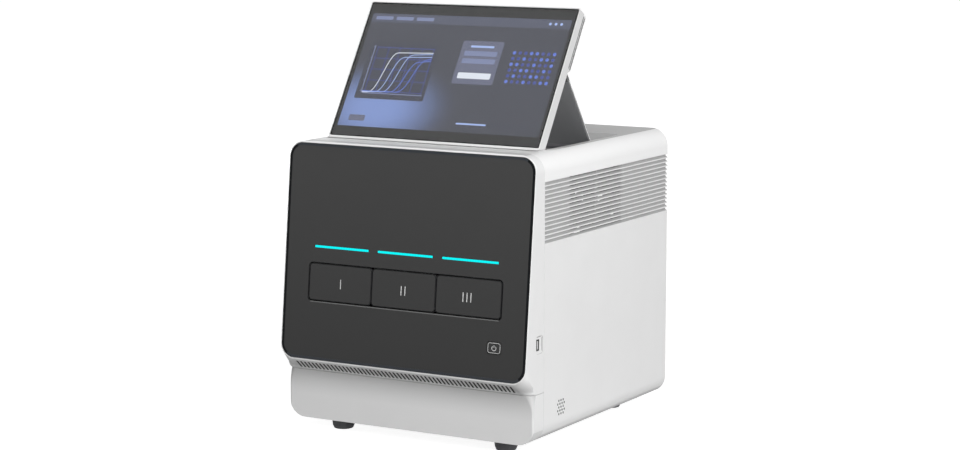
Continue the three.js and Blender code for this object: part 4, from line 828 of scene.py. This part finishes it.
# Screen: a printed border behind the glass, and a line round the glass, in a flat dead black
borderInk = mouldedPlastic("black ceramic print on glass", {
    **smoothPrint, "low": "060606", "high": "0A0A0A", "cloud": 20, "roughness": 0.6,
    "specular": 0.1})
glassTall = display["glassTop"] - display["glassFoot"]
glassMiddle = (display["glassFoot"] + display["glassTop"]) / 2
litTall = display["litTop"] - display["litFoot"]
litUp = (display["litFoot"] + display["litTop"]) / 2 - glassMiddle
printBorder = {"inset": 0.2, "depth": 0.08, "corner": 2.5, "forward": 9.74, "least": 2}
mask = startPlate("display_border", 2 * (display["glassHalf"] - printBorder["inset"]),
                  glassTall - 2 * printBorder["inset"], printBorder["depth"],
                  printBorder["corner"])
pickFaces(mask, bothCaps)
bpy.ops.mesh.inset(thickness=display["glassHalf"] - display["litHalf"] - printBorder["inset"],
                   use_individual=True)
bpy.ops.object.mode_set(mode="OBJECT")
for vertex in mask.data.vertices:  # the window isn't quite central, so its corners are set
    if (abs(vertex.co.x) < display["glassHalf"] - printBorder["least"]
            and abs(vertex.co.y) < glassTall / 2 - printBorder["least"]):
        vertex.co.x = math.copysign(display["litHalf"], vertex.co.x)
        vertex.co.y = math.copysign(litTall / 2, vertex.co.y) + litUp
bpy.ops.object.mode_set(mode="EDIT")
bpy.ops.mesh.bridge_edge_loops()
bpy.ops.mesh.select_all(action="SELECT")
bpy.ops.mesh.remove_doubles(threshold=0.001)
leaveEdit(mask)
settle(mask, displayPlace(0, glassMiddle, printBorder["forward"]),
       "display", borderInk)
glassEdge = {"inset": 0.1, "line": 1.0, "depth": 0.05, "corner": 2.4}
rim = startRing("glass_edge", 2 * (display["glassHalf"] - glassEdge["inset"]),
                glassTall - 2 * glassEdge["inset"], glassEdge["line"], glassEdge["depth"],
                glassEdge["corner"])
settle(rim, displayPlace(0, glassMiddle, display["glassForward"] + overFace),
       "display", borderInk)

# Two fine joints down each side of the display's upper half: on the frame and on the back cover
sideJoints = {"foot": 126.0, "top": 200.0, "line": 1.5, "depth": 0.03, "corner": 0.3,
              "rows": ((154.95, -1.5), (154.15, -6.3))}
for side, name in bothSides:
    for row, (half, forward) in enumerate(sideJoints["rows"], start=1):
        line = startPlate(
            f"display_joint_{name}_{row}", sideJoints["line"],
            sideJoints["top"] - sideJoints["foot"], sideJoints["depth"], sideJoints["corner"],
            -side * forward, (sideJoints["top"] + sideJoints["foot"]) / 2)
        settle(line, displayPlace(side * half, 0, 0) @ turnedBy(90 * side, "Y"),
               "display", jointAndShadeAbs)

# Stand: rounded shoulders that close its top beside the hinge, and a painted highlight line down
# each side, the even paleness of an edge that the light catches
highlightPale = mouldedPlastic("pale painted highlight on a moulded edge", {**smoothPrint, "low": "E6E6E6", "high": "EEEEEE"})
standPlace = leaningPlace(math.radians(-35.72), (0, -39.994, 460.892))
shoulders = {"inner": 112.5, "outer": 152.5, "foot": -7.9, "top": 3.7, "thickness": 5.0,
             "round": 2.4, "steps": 5}
highlightLine = {"half": 152.5, "width": 1.1, "foot": -122, "top": -9.0, "back": 1.2,
            "depth": 0.03, "corner": 0.3}
for side, name in bothSides:
    width = shoulders["outer"] - shoulders["inner"]
    shoulder = startPlate(
        f"stand_shoulder_{name}", width, shoulders["top"] - shoulders["foot"],
        shoulders["thickness"], 0, side * (shoulders["outer"] - width / 2),
        (shoulders["top"] + shoulders["foot"]) / 2)
    pickFaces(shoulder, lambda centre, normal: normal.y > 0.9)
    bpy.ops.mesh.select_mode(type="EDGE")
    bpy.ops.mesh.bevel(offset=shoulders["round"], segments=shoulders["steps"], affect="EDGES")
    leaveEdit(shoulder)
    settle(shoulder, standPlace @ Matrix.Translation((0, 0, -shoulders["thickness"] / 2)),
           "stand", jointAndShadeAbs)
    line = startPlate(
        f"stand_edge_highlight_{name}", highlightLine["width"], highlightLine["top"] - highlightLine["foot"],
        highlightLine["depth"], highlightLine["corner"], side * highlightLine["back"],
        (highlightLine["top"] + highlightLine["foot"]) / 2)
    sideways = Matrix.Translation((side * highlightLine["half"], 0, 0)) @ turnedBy(90 * side, "Y")
    settle(line, standPlace @ sideways, "stand", highlightPale)
print("display and stand edged")


# A plain made-up measuring view, in thin layers on the film. Its pixel lines are drawn coarser.
film = {"forward": 9.66, "step": 0.02, "thickness": 0.012, "pixelLine": 2.4}


def glowing(name, code, ripple):  # lit pixels: a flat glow with faint upright lines
    material, tree, shader, place = startMaterial(name, **litPixels)
    lines = addNode(tree, "ShaderNodeTexWave", {
        "Vector": place, "Scale": 1 / (2 * film["pixelLine"] * mm)}, bands_direction="X")
    dim = tuple(channel * (1 - ripple) for channel in hexColour(code)[:3]) + (1.0,)
    wire(tree, shader, Emission_Color=blend(tree, lines.outputs[1], dim, code))
    return material


glowWhite = glowing("lit white pixels", "E8EDF6", 0.04)
glowPale = glowing("lit pale blue pixels", "A9BFF2", 0.06)
glowBlue = glowing("lit blue pixels", "5B76D6", 0.06)
glowDeep = glowing("lit deep blue pixels", "39489A", 0.06)
glowCard = glowing("lit slate pixels", "63677E", 0.05)
glowDark = glowing("lit dark slate pixels", "333645", 0.05)
glowHead = glowing("lit dim slate pixels", "4E5265", 0.05)
glowLine = glowing("lit grey blue pixels", "7C86AA", 0.05)


def onFilm(name, pieces, layer, material, middle):
    return settle(
        joinAll(name, pieces), displayPlace(*middle, film["forward"] + layer * film["step"]),
        "display", material)


def layOut(middle, groups):  # each a name, a finish, a layer and its tiles
    for name, material, layer, tiles in groups:
        pieces = [startPlate("tile", width, height, film["thickness"], corner, across, up, steps=3)
                  for width, height, corner, across, up in tiles]
        onFilm(name, pieces, layer, material, middle)


header = {"middle": (0, 181.4), "width": 2 * display["litHalf"] - 0.4, "tall": 13.0,
          "tabs": (-128, -97, -66), "lights": (118, 126, 134)}
layOut(header["middle"], [
    ("view_header", glowHead, 0, [(header["width"], header["tall"], 0, 0, 0)]),
    ("view_tabs", glowLine, 1, [(26, 5, 1.2, across, 0) for across in header["tabs"]]),
    ("view_status", glowPale, 1, [(4, 4, 1.9, across, 0) for across in header["lights"]]),
])

chart = {"middle": (-84, 104), "width": 104, "tall": 82, "line": 0.8, "axis": 1.2,
         "columns": [(step - 2.5) * 17 + 3 for step in range(6)],
         "rows": [(step - 2) * 16 + 2 for step in range(5)]}
layOut(chart["middle"], [
    ("view_chart_ground", glowDark, 0, [(chart["width"], chart["tall"], 2, 0, 0)]),
    ("view_chart_grid", glowDeep, 1, [
        *((chart["line"], chart["tall"] - 14, 0, across, 1.5) for across in chart["columns"]),
        *((chart["width"] - 16, chart["line"], 0, 3, up) for up in chart["rows"])]),
    ("view_chart_axes", glowLine, 2, [
        (chart["axis"], chart["tall"] - 12, 0, -44, 2),
        (chart["width"] - 14, chart["axis"], 0, 3, -33),
        *((2, 1.0, 0, -45.5, up) for up in chart["rows"])]),
])

curveShape = {"left": -43, "right": 46, "drift": 1.5, "handle": 3, "reach": 0.55, "line": 1.1,
              "low": -31.5, "lowStep": 0.4, "layer": 2.5}
curves = [  # name, finish, where the rise starts and ends, and how high it gets
    ("view_curve_1", glowWhite, -34, -6, 27), ("view_curve_2", glowPale, -24, 6, 21),
    ("view_curve_3", glowPale, -13, 18, 25), ("view_curve_4", glowBlue, -2, 30, 15),
    ("view_curve_5", glowBlue, 8, 42, 19),
]


def riseCurve(start, finish, low, high):  # one measured curve: flat, a smooth rise, flat again
    bpy.ops.curve.primitive_bezier_curve_add(location=(0, 0, 0))
    curve = bpy.context.object
    spline = curve.data.splines[0]
    spline.bezier_points.add(2)
    stops = [(curveShape["left"], low), (start, low), (finish, high),
             (curveShape["right"], high + curveShape["drift"])]
    reach = (finish - start) * curveShape["reach"]
    for index, (point, (across, up)) in enumerate(zip(spline.bezier_points, stops)):
        point.handle_left_type = point.handle_right_type = "FREE"
        point.co = (across, up, 0)
        point.handle_left = (across - (reach if index == 2 else curveShape["handle"]), up, 0)
        point.handle_right = (across + (reach if index == 1 else curveShape["handle"]), up, 0)
    curve.data.bevel_depth = curveShape["line"] / 2
    curve.data.bevel_resolution = 1
    curve.data.resolution_u = 10
    bpy.ops.object.convert(target="MESH")
    curve.scale = (1, 1, film["thickness"] / curveShape["line"])
    bakePlace()
    return curve


for order, (name, material, start, finish, high) in enumerate(curves):
    low = curveShape["low"] + order * curveShape["lowStep"]
    onFilm(name, [riseCurve(start, finish, low, high)], curveShape["layer"], material,
           chart["middle"])

card = {"middle": (31, 122), "width": 60, "tall": 62, "fields": (13, 2)}
layOut(card["middle"], [
    ("view_card", glowCard, 0, [(card["width"], card["tall"], 2.5, 0, 0)]),
    ("view_card_title", glowPale, 1, [(34, 3, 0.8, 0, 23)]),
    ("view_card_fields", glowLine, 1, [(48, 7, 1, 0, up) for up in card["fields"]]),
    ("view_card_button", glowWhite, 1, [(48, 8.5, 1.2, 0, -19)]),
])

wells = {"middle": (108, 118), "pitch": 8.2, "radius": 2.5, "columns": 8, "rows": 6}
used, free = [], []
for column in range(wells["columns"]):
    for row in range(wells["rows"]):
        dot = startDisc("dot", wells["radius"], film["thickness"],
                        (column - (wells["columns"] - 1) / 2) * wells["pitch"],
                        (row - (wells["rows"] - 1) / 2) * wells["pitch"], sides=16)
        (used if (column * 5 + row * 3) % 7 < 3 else free).append(dot)  # an even scatter
onFilm("view_wells_used", used, 0, glowBlue, wells["middle"])
onFilm("view_wells_free", free, 0, glowDeep, wells["middle"])

button = {"middle": (-122, 35), "width": 24, "tall": 8.5}
layOut(button["middle"], [
    ("view_button", glowCard, 0, [(button["width"], button["tall"], 1.5, 0, 0)])])
progress = {"middle": (78, 35), "width": 104, "tall": 2.4, "corner": 1.1, "done": 0.42}
doneWidth = progress["width"] * progress["done"]
layOut(progress["middle"], [
    ("view_progress_track", glowDark, 0, [
        (progress["width"], progress["tall"], progress["corner"], 0, 0)]),
    ("view_progress_done", glowPale, 1, [
        (doneWidth, progress["tall"], progress["corner"], (doneWidth - progress["width"]) / 2, 0)]),
])
print("screen view laid out")

# Screws: pan heads with a cross recess, modelled once for each size and copied.
# The head's shape is given in shares of its radius or height.
screwHead = {"shoulder": 0.3, "dome": 0.35, "slotLong": 1.1, "slotWide": 0.24, "slotFoot": 0.8,
             "sides": 20}


def startScrew(name, radius, height):
    screw = startDisc(name, radius, height, sides=screwHead["sides"])
    pickFaces(screw, topCap)
    bpy.ops.mesh.inset(thickness=radius * screwHead["shoulder"])
    bpy.ops.transform.translate(value=(0, 0, height * screwHead["dome"]))
    leaveEdit(screw)
    slotLong, slotWide = radius * screwHead["slotLong"], radius * screwHead["slotWide"]
    for width, tall in ((slotLong, slotWide), (slotWide, slotLong)):
        bar = startPlate("bar", width, tall, height)
        bar.location.z = height * screwHead["slotFoot"]
        useModifier(screw, "BOOLEAN", object=bar, operation="DIFFERENCE", solver="EXACT")
        bpy.data.objects.remove(bar)
    return screw


rearFace = 188.1
fans = {"places": (-75, 75), "height": 248.9, "screwHalf": 41.25}
baseFace = Matrix.Translation((0, 0, 21.2)) @ turnedBy(180, "X")
screws = {
    "rear_screws": {
        "radius": 3.4, "height": 1.2, "place": leaningPlace(0, (0, rearFace, 0), 180),
        "spots": [(-165, 40), (165, 40), (-165, 205), (165, 205), (-163, 352), (163, 352),
                  (0, 354), (0, 37)]},
    "fan_screws": {
        "radius": 2.7, "height": 1.1, "place": leaningPlace(0, (0, rearFace, fans["height"]), 180),
        "spots": [(middle + side * fans["screwHalf"], up) for middle in fans["places"]
                  for side in (-1, 1) for up in (-fans["screwHalf"], fans["screwHalf"])]},
    "inlet_screws": {
        "radius": 1.9, "height": 0.7, "place": leaningPlace(0, (-112, 190.9, 78.9), 180),
        "spots": [(-15.1, 0), (15.1, 0)]},
    "base_screws": {
        "radius": 3.4, "height": 1.2, "place": rowPlace @ baseFace,
        "spots": [(-148, 100), (148, 100), (-148, -120), (148, -120), (0, 130), (0, -170)]},
}
for name, screw in screws.items():
    settle(repeatAt(startScrew(name, screw["radius"], screw["height"]), screw["spots"]),
           screw["place"], "casing", groundSteel)
print("screws set:", sum(len(screw["spots"]) for screw in screws.values()))

# Rear: a bare rating plate, the switch's marks, the data socket's contacts and the fans' hub plates
ratingPlate = {"width": 66, "tall": 36, "depth": 0.4, "corner": 2, "height": 112,
               "step": (1.6, 0.5, 0.15)}
# Polyester label: a flat pale silver without glare
plateFilm = mouldedPlastic("matt silver polyester label", {
    **smoothPrint, "low": "E0E1E2", "high": "E6E7E8"})
plate = startPlate("rating_plate", ratingPlate["width"], ratingPlate["tall"],
                   ratingPlate["depth"], ratingPlate["corner"])
stepFace(plate, *ratingPlate["step"])
settle(plate, leaningPlace(0, (0, rearFace, ratingPlate["height"]), 180),
       "casing", plateFilm, smooth=5)

switchMarks = {"across": -70, "tall": 4.2, "line": 0.7, "depth": 0.05, "corners": (0.2, 2.0)}
markOn = startPlate("switch_mark_on", switchMarks["line"], switchMarks["tall"],
                    switchMarks["depth"], switchMarks["corners"][0])
markOff = startRing("switch_mark_off", switchMarks["tall"], switchMarks["tall"],
                    switchMarks["line"], switchMarks["depth"], switchMarks["corners"][1])
for mark, deep, high, tilt in ((markOn, 191.04, 82.76, 11.5), (markOff, 190.03, 74.52, 2.3)):
    spot = leaningPlace(0, (switchMarks["across"], deep + overFace, high), 180)
    settle(mark, spot @ turnedBy(tilt, "X"), "rocker", inkPaint)

# Gold plate: warm and bright, with lines from foot to top
goldPlate = sheetMetal("gold plated contact", {
    "low": "D8B45A", "high": "E6C877", "line": 0.4, "stretch": (1, 1, 0.05),
    "roughness": 0.25, "bump": 0.1})
contacts = {"middle": (70, 181.5, 82.85), "count": 8, "pitch": 1.2, "width": 0.6, "length": 10,
            "thickness": 0.15}
contact = startPlate("data_contacts", contacts["width"], contacts["length"], contacts["thickness"])
spots = [((index - (contacts["count"] - 1) / 2) * contacts["pitch"], 0)
         for index in range(contacts["count"])]
settle(repeatAt(contact, spots), rowPlace @ Matrix.Translation(contacts["middle"]),
       "casing", goldPlate)

hubPlate = {"radius": 13, "depth": 0.15, "deep": 181.52, "sides": 48, "step": (1.2, 0.5, 0.06)}
for number, across in enumerate(fans["places"], start=1):
    hub = startDisc(f"fan_hub_plate_{number}", hubPlate["radius"], hubPlate["depth"],
                    sides=hubPlate["sides"])
    stepFace(hub, *hubPlate["step"])
    settle(hub, leaningPlace(0, (across, hubPlate["deep"], fans["height"]), 180),
           f"fan_{number}", brushedAluminium, smooth=5)
print("rear detailed")
